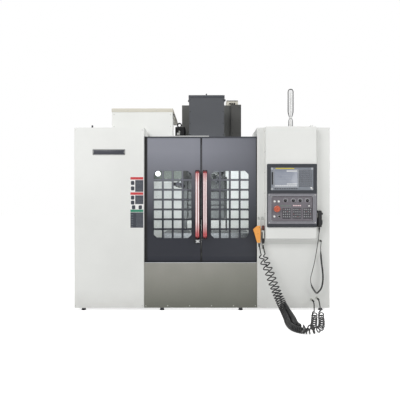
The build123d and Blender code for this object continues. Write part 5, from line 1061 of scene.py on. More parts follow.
# %% Cam box
bolts = [
    (0.007, 0), (0.007, 0.001), (0.0055, 0.0012), (0.0055, 0.006), (0.005, 0.0066), (0.003, 0.0066),
    (0.0028, 0.003),
]
bolt = turned(bolts, 12, (5, 6))
face_bolts = lattice([-0.308, -0.220], [-0.4378], np.linspace(1.575, 1.985, 5))
fitted("cam_box_bolts", "front", bolt, face_bolts, dark_steel)
fitted(
    "cam_box_flange", "front", plate(0.090, 0.400, [(0, 0), (0, 0.0045), (0.001, 0.0055)], 0.010),
    (-0.264, -0.4376, 1.780), black_plastic,
)
oil = turned([(0.020, 0), (0.020, 0.006), (0.017, 0.008), (0.0145, 0.008), (0.0135, 0.005)], 20)
fitted("oil_window", "front", oil, (-0.264, -0.4430, 1.680), zinc_steel)
plug = joined(
    on(
        "front", turned([(0.012, 0), (0.012, 0.014), (0.010, 0.018), (0.006, 0.022)], 12, (0, 1)),
        (-0.272, -0.4430, 1.965),
    ),
    slab((-0.300, -0.470, 1.925), (-0.264, -0.4425, 1.950), 0.002),
)
piece("sensor_plug", plug, "frame", cabinet_paint)
print("cam box bolts", len(face_bolts))

# %% [markdown]
# ## Operator panel
# The panel has two halves. Above is the screen unit: a display behind a
# glossy sheet, a field of keys and a row of keys under the picture. Below is
# the switch panel with four selectors, an emergency stop, lit buttons and
# three blocks of keys. The real unit is a pale grey moulding in a dark
# bezel, so its parts are made as thin caps on the CAD solids.

# %% Panel planes
plate_face = pod_face - 0.005
bezel_face = pod_face - 0.014
unit_face = bezel_face + 0.003
knob_z, stop_at = 1.146, (0.764, 1.061)
key_pale = moulded("key_pale", "panel_grey", tone(176, 180, 186), 0.4, 900, 0.0001, 0.1, 0.1)
key_middle = moulded("key_middle", "panel_grey", tone(82, 84, 90), 0.42, 900, 0.0001, 0.1, 0.15)
key_light = moulded("key_light", "panel_grey", tone(118, 119, 124), 0.42, 900, 0.0001, 0.1, 0.15)
key_dark = moulded("key_dark", "panel_grey", tone(34, 34, 37), 0.42, 900, 0.0001, 0.1, 0.15)
key_red = moulded("key_red", "red_plastic", tone(178, 60, 62), 0.35, 900, 0.0001, 0.2, 0.1)
key_rose = moulded("key_rose", "lamp_plastic", tone(236, 206, 208), 0.3, 900, 0.0001, 0.3, 0.1)
mark_white = moulded("mark_white", "lamp_plastic", tone(216, 218, 220), 0.4, 900, 0.00005, 0.0, 0.05)
strip_yellow = moulded("strip_yellow", "orange_plastic", tone(214, 196, 62), 0.4, 900, 0.00005, 0.0, 0.1)
lamp_green = moulded("lamp_green", "lamp_plastic", tone(120, 150, 128), 0.2, 400, 0.00005, 0.5, 0.1)
print("panel faces", round(plate_face, 4), round(bezel_face, 4))

# %% [markdown]
# The display is off. Its glass looks pale grey-blue because it mirrors the
# room, a little lighter towards the foot. Fields on the glass are pale
# foils of three tenths of a millimetre.

# %% Display


def glass_finish():
    """Glass of a display that is off: pale grey-blue, lighter towards the foot, glossy."""
    material, tree, shader = blank("display_glass", "panel_grey")
    rise = height_above_floor(tree)
    fade = spread(tree, rise, 1.29, 1.45, 0, 1)
    cloud = spread(tree, noise(tree, place(tree), 14, 2), 0.3, 0.7, 0.0, 0.25)
    glow = mixed(tree, fade, tone(150, 155, 166), tone(128, 134, 148))
    tree.links.new(mixed(tree, cloud, glow, tone(160, 166, 178)), shader.inputs["Base Color"])
    tree.links.new(spread(tree, cloud, 0, 0.25, 0.26, 0.34), shader.inputs["Roughness"])
    shader.inputs["Coat Weight"].default_value = 0.5
    bumped(tree, shader, noise(tree, place(tree), 300, 2), 0.00002, 0.2)
    return material


display_glass = glass_finish()
display_x, display_z = 0.8545, 1.3705
display_back = unit_face + 0.0041
fitted(
    "display", "front", plate(0.239, 0.171, [(0, 0), (0, 0.0018), (0.001, 0.0024)], 0.005),
    (display_x, display_back, display_z), display_glass,
)
glass_face = display_back - 0.0024
fitted("display_head", "front", plate(0.108, 0.014, foil, 0.001), (0.9150, glass_face, 1.4465), mark_white)
foot_keys = on(
    "front", plate(0.0205, 0.012, foil, 0.001),
    lattice(0.752 + 0.0228 * np.arange(10), [glass_face], [1.2965]),
)
piece("display_foot", foot_keys, "frame", mark_white)
field = on("front", plate(0.106, 0.0105, foil, 0.001), (0.9160, glass_face, 1.3155))
piece("display_field", field, "frame", mark_white)
lines = on(
    "front", plate(0.150, 0.0016, foil, 0.0005, 1),
    lattice([0.8300], [glass_face], 1.337 + 0.016 * np.arange(6)),
)
piece("display_lines", lines, "frame", key_pale)
rim = frame_plate((0.2525, 0.1845), (0.243, 0.175), 0.0016, 0.008, 0.006)
fitted("display_rim", "front", rim, (display_x, unit_face, display_z), key_pale)
fitted(
    "unit_strip", "front", plate(0.190, 0.0095, [(0, 0), (0.0003, 0.0006)], 0.002),
    (0.8430, unit_face, 1.4735), strip_yellow,
)
slot_door = on(
    "front", plate(0.015, 0.128, [(0, 0), (0, 0.0012), (0.0008, 0.002)], 0.003), (0.7155, unit_face, 1.372)
)
piece("card_slot_door", slot_door, "frame", key_dark)
corner_pad = plate(0.022, 0.022, [(0, 0), (0, 0.0008), (0.0008, 0.0014)], 0.006)
corners = lattice([0.7120, 1.1200], [unit_face], [1.2640, 1.4710])
fitted("unit_corners", "front", corner_pad, corners, key_pale)
screws("unit_screws", "front", corners - [0, 0.0014, 0], "frame", 0.0035)

# %% [markdown]
# The key caps are rounded pads. Every cap carries a small light mark, as a
# printed legend seen from afar.

# %% Keys of the screen unit
caps = plate(0.0150, 0.0142, [(0, 0), (0, 0.0008), (0.0012, 0.0016)], 0.003, 2)
grid_x = 1.052 + 0.023 * (np.arange(6) - 2.5)
grid_z = 1.3745 + 0.022 * (np.arange(8) - 3.5)
cap_spots = lattice(grid_x, [unit_face - 0.003], grid_z)
fitted("unit_keys", "front", caps, cap_spots, key_middle)
legend = plate(0.0090, 0.0036, foil, 0.0005, 1)
fitted("unit_legends", "front", legend, cap_spots + [-0.0015, -0.0016, 0.0015], key_pale)
soft_spots = lattice(display_x + 0.024 * (np.arange(10) - 4.5), [unit_face - 0.003], [1.268])
soft_cap = plate(0.0155, 0.0095, [(0, 0), (0, 0.0006), (0.001, 0.0012)], 0.002, 2)
fitted("soft_keys", "front", soft_cap, soft_spots, key_middle)
reset = turned([(0.0085, 0), (0.0085, 0.003), (0.0075, 0.0042), (0.004, 0.0048)], 18)
fitted("unit_button", "front", reset, (1.1100, unit_face, 1.2760), white_cap)
print("key caps", len(cap_spots) + len(soft_spots))

# %% [markdown]
# A lighter sheet frames the switch panel, with a narrow bright edge inside.
# It is a flat ring: an outer and an inner rounded outline.

# %% Switch panel frame
ring = frame_plate((0.494, 0.308), (0.4268, 0.2618), 0.0016, 0.008, 0.002)
panel_middle = (0.9165, bezel_face, 1.0630)
fitted("switch_frame", "front", ring, panel_middle, panel_frame)
edge = frame_plate((0.4330, 0.2680), (0.4275, 0.2625), 0.0026, 0.004, 0.003)
fitted("switch_edge", "front", edge, panel_middle, key_pale)
screws(
    "switch_screws", "front", lattice([0.684, 1.149], [bezel_face - 0.0016], [0.923, 1.203]), "frame", 0.0040
)
screws("plate_screws", "front", lattice([0.7110, 1.1220], [plate_face], [0.9400, 1.1860]), "frame", 0.0035)

# %% [markdown]
# Each selector turns over a printed scale. The scale is a fan of short bars:
# one bar is placed at every angle by turning its corner points.

# %% Scales round the selectors


def fan(radius, length, width, angles, thickness=0.0003):
    """Bars on a circle: corner = centre + turned (radius to radius + length, half a width to each side)."""
    angles = np.radians(angles)[:, None]
    reach = np.array([radius, radius + length, radius + length, radius])[None]
    aside = np.array([-width / 2, -width / 2, width / 2, width / 2])[None]
    flat = np.stack(
        [reach * np.sin(angles) + aside * np.cos(angles), reach * np.cos(angles) - aside * np.sin(angles)], -1
    )
    low = np.concatenate([flat, np.zeros(flat.shape[:2] + (1,))], -1)
    high = low + [0, 0, thickness]
    points = np.concatenate([low, high], 1).reshape(-1, 3)
    box = [[0, 3, 2, 1], [4, 5, 6, 7], [0, 1, 5, 4], [1, 2, 6, 5], [2, 3, 7, 6], [3, 0, 4, 7]]
    faces = [[c + 8 * k for c in face] for k in range(len(angles)) for face in box]
    return points, faces


knob_x = np.array([0.849, 0.930, 1.000, 1.073])
scale = fan(0.0175, 0.0062, 0.0020, np.linspace(-130, 130, 14))
fitted("knob_scales", "front", scale, lattice(knob_x, [plate_face], [knob_z]), mark_white)
arch = fan(0.0245, 0.0020, 0.0034, np.linspace(-120, 120, 40))
fitted("knob_arches", "front", arch, lattice(knob_x, [plate_face], [knob_z]), key_pale)
for x, name, angle in zip(knob_x, ("feed_knob", "rapid_knob", "spindle_knob", "mode_knob"), (30, 0, -30, 45)):
    pointer = fan(0.0020, 0.0100, 0.0016, np.array([-angle]))
    fitted(name + "_line", "front", pointer, (x, -1.1480, knob_z), mark_white, name)
print("scales", len(knob_x))

# %% [markdown]
# Emergency stop: a red mushroom in an orange collar. Three bent bars are
# moulded on its head; each is a short arch of the fan.

# %% Emergency stop, buttons and key
stop_orange = moulded("stop_orange", "orange_plastic", tone(236, 128, 84), 0.35, 500, 0.0001, 0.2, 0.1)
collar = turned(
    [(0.0325, 0), (0.0330, 0.0012), (0.0300, 0.0032), (0.0190, 0.0036), (0.0178, 0.0020), (0.0178, 0)], 36
)
fitted(
    "stop_collar", "front", (collar[0], collar[1][:-2]), (stop_at[0], plate_face - 0.0030, stop_at[1]),
    stop_orange,
)
arrow_angles = np.concatenate([turn + np.linspace(0, 70, 12) for turn in (0, 120, 240)])
arrows = fan(0.0145, 0.0036, 0.0022, arrow_angles, 0.0006)
fitted("stop_arrows", "front", arrows, (stop_at[0], -1.1572, stop_at[1]), stop_orange, "estop_button")
cap = turned([(0.0100, 0), (0.0100, 0.0022), (0.0090, 0.0036), (0.0050, 0.0044)], 24)
ring_round = turned([(0.0136, 0), (0.0136, 0.0018), (0.0122, 0.0030), (0.0112, 0.0030), (0.0112, 0)], 24)
button_top = plate_face - 0.009
lit = [(0.738, button_top, 1.138), (0.779, button_top, 1.138), (0.735, button_top, 0.985)]
fitted("lit_buttons", "front", cap, lit, white_cap)
rings = [(x, plate_face, z) for x, y, z in lit] + [(0.786, plate_face, 0.985)]
fitted("button_rings", "front", (ring_round[0], ring_round[1][:-2]), rings, zinc_steel)
lever = plate(0.0185, 0.0125, [(0, 0), (0, 0.0016), (0.0012, 0.0028)], 0.003)
fitted("toggle_cap", "front", lever, (1.088, button_top, 1.092), white_cap)
lever_stick = turned([(0.0032, 0), (0.0028, 0.006), (0.0036, 0.010), (0.0020, 0.012)], 10)
fitted("toggle_stick", "front", lever_stick, (1.091, plate_face - 0.0115, 1.090), white_cap)
print("buttons", len(lit))

# %% Key blocks and small lamps
block_x, block_z = np.array([0.862, 0.967, 1.073]), 1.016
key_x = (block_x[:, None] + 0.0205 * (np.arange(4) - 1.5)[None]).ravel()
key_z = block_z + 0.025 * (np.arange(4) - 1.5)
caps = plate(0.0140, 0.0170, [(0, 0), (0, 0.0006), (0.0012, 0.0014)], 0.003, 2)
key_spots = lattice(key_x, [plate_face - 0.005], key_z)
fitted("panel_keys", "front", caps, key_spots, key_light)
field = plate(0.0856, 0.1056, [(0, 0), (0.0003, 0.0004)], 0.001)
fitted("key_fields", "front", field, lattice(block_x, [plate_face - 0.0019], [block_z]), key_dark)
marks = plate(0.0090, 0.0036, foil, 0.0005, 1)
fitted("panel_legends", "front", marks, key_spots + [0, -0.0014, -0.0030], key_dark)
second = plate(0.0050, 0.0016, foil, 0.0005, 1)
fitted("panel_second_legends", "front", second, key_spots + [0, -0.0014, 0.0006], key_dark)
dot = turned([(0.0025, 0), (0.0025, 0.0004), (0.0012, 0.0007)], 8)
order = np.arange(len(key_spots))
red_ones = key_spots[order % 7 == 3]
white_ones = key_spots[order % 7 != 3]
fitted("red_dots", "front", dot, red_ones + [-0.0035, -0.0014, 0.0052], key_red)
fitted("white_dots", "front", dot, white_ones + [-0.0035, -0.0014, 0.0052], white_cap)
small = turned([(0.0040, 0), (0.0040, 0.0012), (0.0026, 0.0024)], 12)
fitted(
    "small_lamps", "front", small, lattice(0.806 + 0.0135 * np.arange(8), [plate_face], [1.0935]), lamp_green
)
rose = plate(0.0165, 0.0120, [(0, 0), (0, 0.0018), (0.0015, 0.0030)], 0.003)
fitted("rose_keys", "front", rose, lattice(0.9355 + 0.0215 * np.arange(4), [plate_face], [1.0955]), key_rose)
print("panel keys", len(key_spots))

# %% [markdown]
# ## Signal lamp
# The lamp is a clear tube with a round top and a narrow waist above its
# foot. A slim white core stands inside it. Seen against the light, a clear
# tube is pale in the middle and grey along its edges, so it is made as a
# real see-through shell round the core.

# %% Lamp tube and core
lamp_at = np.array([0.912, front - 0.045, cabinet_top + 0.0005])
tube_clear = clear_sheet("tube_clear", "lamp_plastic", (0.99, 0.99, 0.99, 1))
tube = turned([
    (0.0230, 0), (0.0235, 0.002), (0.0230, 0.058), (0.0190, 0.074), (0.0140, 0.084), (0.0140, 0.094),
    (0.0190, 0.110), (0.0265, 0.134), (0.0298, 0.154), (0.0298, 0.352), (0.0285, 0.368),
    (0.0230, 0.380), (0.0140, 0.3860), (0.0060, 0.3875),
], 40)
lamp = piece("lamp_tube", (tube[0] + lamp_at, tube[1]), "frame", tube_clear, 60)
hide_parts("signal_lamp")
core = turned(
    [
        (0.0100, 0), (0.0100, 0.050), (0.0050, 0.070), (0.0050, 0.110), (0.0045, 0.140), (0.0045, 0.340),
        (0.0030, 0.346),
    ],
    20,
)
piece("lamp_core", (core[0] + lamp_at, core[1]), "frame", white_cap)
waist = turned([(0.0142, 0), (0.0158, 0.0015), (0.0158, 0.0085), (0.0142, 0.010)], 28)
piece("lamp_waist_ring", (waist[0] + lamp_at + [0, 0, 0.0840], waist[1]), "frame", white_cap)
print("lamp", round(np.ptp(tube[0][:, 2]), 4), "m tall")

# %% [markdown]
# ## Guns, couplings and pendant
# A hose never ends bare: a zinc nut holds it, and a rubber sleeve that tapers
# towards the hose keeps it from kinking at the nut.

# %% Nuts and tapered sleeves
nut = turned([(0.0100, 0), (0.0105, 0.001), (0.0105, 0.013), (0.0100, 0.014)], 18, (0, 1, 2, 3))
sleeve = turned(
    [(0.0098, 0), (0.0098, 0.004), (0.0090, 0.012), (0.0080, 0.024), (0.0070, 0.036), (0.0066, 0.040)], 16
)
for name, path in (("air", air_path), ("wash", wash_path)):
    gun_end, wall_end = path[-1], path[0]
    fitted(name + "_gun_nut", "under", nut, gun_end + [0, 0, 0.002], zinc_steel)
    fitted(name + "_gun_sleeve", "under", sleeve, gun_end - [0, 0, 0.010], seal_rubber)
    fitted(name + "_wall_nut", "front", nut, wall_end + [0, 0.001, 0], zinc_steel)
    fitted(name + "_wall_sleeve", "front", sleeve, wall_end - [0, 0.011, 0], seal_rubber)
cable_nut = turned(
    [(0.0090, 0), (0.0090, 0.008), (0.0075, 0.010), (0.0060, 0.026), (0.0048, 0.040), (0.0044, 0.044)], 16
)
fitted("pendant_sleeve", "under", cable_nut, cable_path[0] + [0, 0, 0.001], seal_rubber)
gland_sleeve = turned([(0.0088, 0), (0.0088, 0.006), (0.0070, 0.012), (0.0052, 0.030)], 16)
fitted("gland_sleeve", "front", gland_sleeve, cable_path[-1] + [0, 0.001, 0], seal_rubber)
print("sleeves", 6)

# %% Trim of the two guns


def bent(begin, middle, end, share):
    """A parabola from begin to end: (1 - t)^2 * begin + 2 * t * (1 - t) * middle + t^2 * end, t = share."""
    return (1 - share) ** 2 * begin + 2 * share * (1 - share) * middle + share ** 2 * end


def soft_outline(corners, radius, steps=3):
    """Closed outline with every corner rounded by a short parabola between the two sides."""
    here = np.asarray(corners, float)
    into, out = here - np.roll(here, 1, 0), np.roll(here, -1, 0) - here
    into /= np.linalg.norm(into, axis=1, keepdims=True)
    out /= np.linalg.norm(out, axis=1, keepdims=True)
    share = np.linspace(0, 1, steps + 1)[None, :, None]
    begin, end = (here - into * radius)[:, None], (here + out * radius)[:, None]
    return bent(begin, here[:, None], end, share).reshape(-1, 2)


def cut_sheet(outline, levels):
    """A flat part of any outline: ring = middle + (outline - middle) * scale, at each level."""
    middle = outline.mean(0)
    size = np.linalg.norm(outline - middle, axis=1).mean()
    rings = np.stack([
        np.column_stack([middle + (outline - middle) * (1 - inset / size), np.full(len(outline), level)])
        for inset, level in levels
    ])
    return shell(rings)


housing_line = soft_outline([
    (0.5275, 0.8450), (0.5420, 0.8050), (0.5640, 0.7220), (0.5700, 0.7130), (0.5980, 0.7150),
    (0.6010, 0.7250), (0.5860, 0.7950), (0.6022, 0.8480), (0.5980, 0.8790), (0.5800, 0.8880),
    (0.5640, 0.8840), (0.5275, 0.8520),
], 0.0028)
half_levels = [(0, 0), (0, 0.0030), (0.0012, 0.0042)]
front_half = cut_sheet(housing_line, half_levels)
back_half = cut_sheet(housing_line * [-1, 1], half_levels)
halves = joined(on("front", front_half, (0, -1.0863, 0)), on("back", back_half, (0, -1.0692, 0)))
piece("air_gun_housing", halves, "frame", gun_orange)
housing_screw = turned(
    [(0.003, 0), (0.003, 0.0012), (0.002, 0.0018), (0.001, 0.0018), (0.001, 0.0008)], 10, (3, 4)
)
fitted(
    "air_gun_screws", "front", housing_screw,
    [(0.588, -1.0905, 0.868), (0.575, -1.0905, 0.806), (0.585, -1.0905, 0.735)], dark_steel,
)
wash_x, wash_y = 0.629, -1.07775
crown = turned([(0.0135, 0), (0.0140, 0.002), (0.0140, 0.034), (0.0120, 0.040), (0.0080, 0.042)], 24)
crown_brown = moulded("crown_brown", "red_plastic", tone(92, 50, 44), 0.35, 700, 0.0002, 0.2, 0.2)
piece("wash_gun_crown", (crown[0] + [wash_x, wash_y, 0.8485], crown[1]), "frame", crown_brown)
joint = turned([(0.0172, 0), (0.0178, 0.002), (0.0178, 0.014), (0.0172, 0.016)], 24)
piece("wash_gun_joint", (joint[0] + [wash_x, wash_y, 0.8240], joint[1]), "frame", white_cap)
grooves = turned([(0.0125, 0), (0.0136, 0.0008), (0.0136, 0.0022), (0.0125, 0.003)], 24)
spots = lattice([wash_x], [wash_y], 0.722 + 0.009 * np.arange(10))
piece("wash_gun_grip", repeated(*grooves, spots), "frame", seal_rubber)
print("gun trim done")

# %% [markdown]
# The pendant's handwheel has a printed ring of fifty marks, every fifth one
# longer. The wheel's rim is milled, and small scales stand beside the two
# selectors.

# %% Pendant details
pendant_face, pendant_y, wheel_z, selector_z = 1.222, -1.08375, 0.925, 1.013
long_marks = fan(0.0328, 0.0036, 0.0009, np.arange(0, 360, 36.0))
short_marks = fan(0.0328, 0.0020, 0.0005, np.arange(0, 360, 7.2))
fitted(
    "wheel_scale", "right", joined(long_marks, short_marks), (pendant_face, pendant_y, wheel_z), mark_white
)
face_ring = turned([(0.0260, 0), (0.0260, 0.0008), (0.0240, 0.0014), (0.0120, 0.0014)], 40)
fitted("wheel_face", "right", face_ring, (1.2313, pendant_y, wheel_z), zinc_steel, "handwheel")
teeth = fan(0.0316, 0.0010, 0.0016, np.arange(0, 360, 9.0), 0.0055)
fitted("wheel_milling", "right", teeth, (1.2232, pendant_y, wheel_z), black_plastic, "handwheel")
for name, y, angles in (
    ("axis", pendant_y - 0.019, (-60, -30, 0, 30, 60)), ("step", pendant_y + 0.019, (-45, 0, 45))
):
    marks = fan(0.0132, 0.0030, 0.0010, np.array(angles, float))
    fitted(name + "_scale", "right", marks, (pendant_face, y, selector_z), mark_white)
    line = fan(0.0010, 0.0080, 0.0012, np.array([0.0]))
    fitted(name + "_selector_line", "right", line, (1.2373, y, selector_z), mark_white, name + "_selector")
screws(
    "pendant_screws", "right", lattice([pendant_face], [-1.1155, -1.0520], [0.8830, 1.0360]), "frame", 0.0022
)
print("pendant done")

# %% [markdown]
# ## Stainless apron
# Below the doors hangs one folded sheet of stainless steel. Its upper edge
# stands in front of the doors' feet, turns back over the drip channel and
# ends in a hem; its lower edge is folded back as well. The section is a
# thin folded strip: an outer line with rounded corners and the same line
# moved inwards by the thickness of the sheet.

# %% Folded sheet


def folded(corners, radius, thickness, steps=4):
    """
    Outline of a folded sheet in one plane. Every inner corner becomes an arc,
    and the second side is the first moved along its own normal by the
    thickness: point = corner line point + normal * thickness.
    """
    corners = np.asarray(corners, float)
    before, here, after = corners[:-2], corners[1:-1], corners[2:]
    into = (here - before) / np.linalg.norm(here - before, axis=1, keepdims=True)
    out = (after - here) / np.linalg.norm(after - here, axis=1, keepdims=True)
    turn = np.arccos(np.clip(np.sum(into * out, 1), -1, 1))
    cut = (radius * np.tan(turn / 2))[:, None]
    begin, end = here - into * cut, here + out * cut
    share = np.linspace(0, 1, steps + 1)[None, :, None]
    arcs = bent(begin[:, None], here[:, None], end[:, None], share)
    arcs = np.concatenate([(begin - into * 0.0015)[:, None], arcs, (end + out * 0.0015)[:, None]], 1)
    line = np.concatenate([corners[:1], arcs.reshape(-1, 2), corners[-1:]])
    along = np.gradient(line, axis=0)
    along /= np.linalg.norm(along, axis=1, keepdims=True)
    normal = np.stack([-along[:, 1], along[:, 0]], -1)
    return np.concatenate([line, (line + normal * thickness)[::-1]])


def pressed(section, start, end, cuts=2):
    """The (y, z) section carried along x from start to end."""
    x = np.linspace(start, end, cuts)
    rings = np.stack([
        np.broadcast_to(x[:, None], (cuts, len(section))),
        np.broadcast_to(section[None, :, 0], (cuts, len(section))),
        np.broadcast_to(section[None, :, 1], (cuts, len(section))),
    ], -1)
    return shell(rings)


apron_front, apron_top = front + 0.0029, 0.5045
fold = [
    (-1.0092, apron_top - 0.020), (-1.0092, apron_top), (apron_front, apron_top),
    (apron_front, 0.0305), (front + 0.078, 0.0305),
]
apron = piece("apron", pressed(folded(fold, 0.004, 0.002), -0.6020, 0.5730), "frame", apron_steel, 50)
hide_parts("front_apron")
ends = joined(
    slab((-0.6020, apron_front + 0.001, 0.032), (-0.6000, -1.0075, 0.5025), 0.0004),
    slab((0.5710, apron_front + 0.001, 0.032), (0.5730, -1.0075, 0.5025), 0.0004),
)
piece("apron_ends", ends, "frame", apron_steel)
# Painted highlight: a strip of bright ground steel along the top fold stands for the light that the fold
# catches.
lip = slab((-0.6010, apron_front - 0.0010, 0.4985), (0.5720, apron_front + 0.0002, 0.5042), 0.0004)
piece("apron_fold_highlight", lip, "frame", ground_steel)
screws(
    "apron_screws", "front", lattice(np.linspace(-0.585, 0.556, 6), [apron_front], [0.052]), "frame", 0.0040
)
print("apron", round(apron_top - 0.0305, 3), "m high")

# %% [markdown]
# ## Working space
# Inside, white sheets slope towards the bed. A real enclosure is built of
# several panels: their joints are sealed and screwed. A long lamp under the
# top rail lights the work, and three jointed coolant nozzles hang under the
# head on the side away from the tool arm.

# %% Lamp strip and panel joints
lamp_glow, tree, shader = blank("lamp_glow", "lamp_plastic")
shader.inputs["Base Color"].default_value = (0.9, 0.92, 0.95, 1)
shader.inputs["Emission Color"].default_value = (1.0, 0.98, 0.94, 1)
shader.inputs["Emission Strength"].default_value = 1.0
ribs = noise(tree, place(tree, (200, 1, 1)), 3, 1)
tree.links.new(spread(tree, ribs, 0.3, 0.7, 0.2, 0.4), shader.inputs["Roughness"])
strip_z = 1.775
lens = plate(0.900, 0.030, [(0, 0), (0, 0.010), (0.006, 0.016)], 0.010)
fitted("lamp_strip", "back", lens, (0.0, -0.9585, strip_z), lamp_glow)
housing = plate(0.960, 0.050, [(0, 0), (0, 0.006), (0.002, 0.008)], 0.006)
fitted("lamp_housing", "back", housing, (0.0, -0.9592, strip_z), frame_paint)
joint_bars = joined(
    slab((-0.8895, -0.400, 0.700), (-0.8875, -0.385, 1.790), 0.0008),
    slab((0.9875, -0.400, 0.700), (0.9895, -0.385, 1.790), 0.0008),
    slab((-0.600, 0.1872, 0.600), (-0.585, 0.1892, 1.500), 0.0008),
    slab((0.640, 0.1872, 0.600), (0.655, 0.1892, 1.700), 0.0008),
)
piece("wall_joints", joint_bars, "frame", liner_paint)
joint_screws = np.r_[
    lattice([-0.5925, 0.6475], [0.1872], np.linspace(0.65, 1.45, 8)),
    lattice([-0.870, -0.620], [0.1890], np.linspace(0.62, 1.40, 5)),
    lattice([0.690, 0.970], [0.1890], np.linspace(0.62, 1.70, 6)),
]
screws("wall_screws", "front", joint_screws, "frame")
for name, side, x in (("left", "right", -0.8875), ("right", "left", 0.9875)):
    screw_row = lattice([x], [-0.3925], np.linspace(0.74, 1.75, 9))
    screws("wall_side_screws_" + name, side, screw_row, "frame")
guides = joined(
    slab((-0.2620, 0.1800, 0.6200), (-0.2040, 0.1885, 1.4700), 0.0010),
    slab((0.3040, 0.1800, 0.6200), (0.3250, 0.1885, 1.4700), 0.0010),
)
piece("cover_guides", guides, "frame", cover_steel)
screws("guide_screws", "front", lattice([-0.2330], [0.1800], np.linspace(0.66, 1.43, 7)), "frame")
print("wall screws", len(joint_screws))

# %% Jointed coolant nozzles


def jointed_tube(path, radii, count=14):
    """A tube whose radius follows a list: ring i = path i + radius i * (across * cos + above * sin)."""
    path, radii = np.asarray(path, float), np.asarray(radii, float)
    along = np.gradient(path, axis=0)
    along /= np.linalg.norm(along, axis=1, keepdims=True)
    across = np.cross(along, (0.31, 0.83, 0.46))
    across /= np.linalg.norm(across, axis=1, keepdims=True)
    above = np.cross(along, across)
    angle = np.arange(count) * 2 * np.pi / count
    angle = angle[None, :, None]
    round_trip = across[:, None] * np.cos(angle) + above[:, None] * np.sin(angle)
    return shell(path[:, None] + radii[:, None, None] * round_trip)


nozzle_grey = moulded("nozzle_grey", "bezel_plastic", tone(70, 72, 76), 0.34, 500, 0.0002, 0.2, 0.15)
share = np.linspace(0, 1, 49)
beads = 0.0078 + 0.0014 * np.abs(np.sin(share * np.pi * 6)) - 0.0016 * share
beads[-7:] = np.linspace(beads[-7], 0.0030, 7)
nozzle_starts = np.array([(0.165, -0.440, 1.466), (0.210, -0.360, 1.466), (0.190, -0.270, 1.466)])
nozzle_bends = np.array([(0.190, -0.470, 1.400), (0.245, -0.365, 1.400), (0.225, -0.250, 1.400)])
nozzle_ends = np.array([(0.150, -0.435, 1.358), (0.175, -0.352, 1.352), (0.165, -0.288, 1.356)])
nozzle_shapes = []
for start, bend, end in zip(nozzle_starts, nozzle_bends, nozzle_ends):
    nozzle_shapes.append(jointed_tube(bent(start, bend, end, share[:, None]), beads))
piece("coolant_nozzles", joined(*nozzle_shapes), "head", nozzle_grey, 60)
seat = turned([(0.0125, 0), (0.0125, 0.008), (0.010, 0.010), (0.0085, 0.014)], 12, (0, 1))
fitted("nozzle_seats", "under", seat, nozzle_starts - [0, 0, 0.001], zinc_steel, "head")
print("nozzles", len(nozzle_shapes))

# %% [markdown]
# The sliding cover in front of the Z guides wipes itself clean: each plate
# carries a black lip along its lower hem. The table has its clamping slots
# already; it gets end plates with their bolts.

# %% Wipers, table and saddle
for name, body, face, low in (
    ("upper", "head", 0.1673, 1.275), ("middle", "z_cover_middle", 0.1723, 1.090),
    ("lower", "z_cover_lower", 0.1773, 0.905),
):
    lip = slab((-0.188, face - 0.0030, low - 0.0015), (0.288, face + 0.0005, low + 0.010), 0.0008)
    piece("wiper_" + name, lip, body, seal_rubber)
bolt_spots = lattice([-0.4502], [-0.540, -0.440, -0.245, -0.145], [0.728])
end_plate = slab((-0.4550, -0.5860, 0.7075), (-0.4500, -0.0995, 0.7450), 0.001)
other_plate = slab((0.5500, -0.5860, 0.7075), (0.5550, -0.0995, 0.7450), 0.001)
piece("table_end_plates", joined(end_plate, other_plate), "table", zinc_steel)
screws("table_bolts_left", "left", bolt_spots - [0.0048, 0, 0], "table", 0.0065, dark_steel)
screws("table_bolts_right", "right", bolt_spots + [1.0050, 0, 0], "table", 0.0065, dark_steel)
screws(
    "saddle_bolts", "front", lattice(np.linspace(-0.30, 0.40, 8), [-0.5728], [0.612]), "saddle", 0.0075,
    dark_steel,
)
nipples = turned([(0.005, 0), (0.005, 0.004), (0.003, 0.005), (0.0035, 0.009), (0.002, 0.011)], 10, (0, 1))
fitted(
    "oil_nipples", "front", nipples, lattice([-0.05, 0.05, 0.15], [-0.5728], [0.640]), zinc_steel, "saddle"
)
bolts_round = np.arange(8) * np.pi / 4 + 0.2
spots = np.column_stack(
    [spindle_x + 0.066 * np.cos(bolts_round), spindle_y + 0.066 * np.sin(bolts_round), np.full(8, 1.3952)]
)
screws("cartridge_bolts", "under", spots, "head", 0.0055, dark_steel)
print("wipers", 3)

# %% [markdown]
# ## Head and motor
# The spindle motor stands upright under the hood. Seen from behind, its
# cooling fins and the head's bolted plates show. The fins are one thin
# softened bar, repeated up the motor.

# %% Motor fins and head bolts
fin = plate(0.246, 0.246, [(0.0005, 0), (0, 0.0006), (0, 0.0030), (0.0005, 0.0036)], 0.021, 3)
fin_spots = lattice([spindle_x], [spindle_y], 1.915 + 0.011 * np.arange(26))
piece("motor_fins", repeated(*fin, fin_spots), "head", dark_steel)
screws(
    "slide_bolts", "front", lattice([-0.175, 0.275], [0.1270], np.linspace(1.52, 2.01, 8)), "head", 0.0080,
    dark_steel,
)
fan_ring = turned([(0.108, 0), (0.108, 0.010), (0.100, 0.012), (0.096, 0.012), (0.094, 0.002)], 36)
blade_angles = np.arange(0, 360, 12.0)
blades = fan(0.030, 0.064, 0.0040, blade_angles, 0.006)
piece("fan_ring", (fan_ring[0] + [spindle_x, spindle_y, 2.2528], fan_ring[1]), "head", black_plastic)
piece("fan_grille", (blades[0] + [spindle_x, spindle_y, 2.2570], blades[1]), "head", black_plastic)
print("fins", len(fin_spots))

# %% [markdown]
# A folded sheet in front of the magazine keeps chips off the tools. It is
# the dark green-grey surface seen at the top of the left window, and a round
# spot lamp is screwed to it.

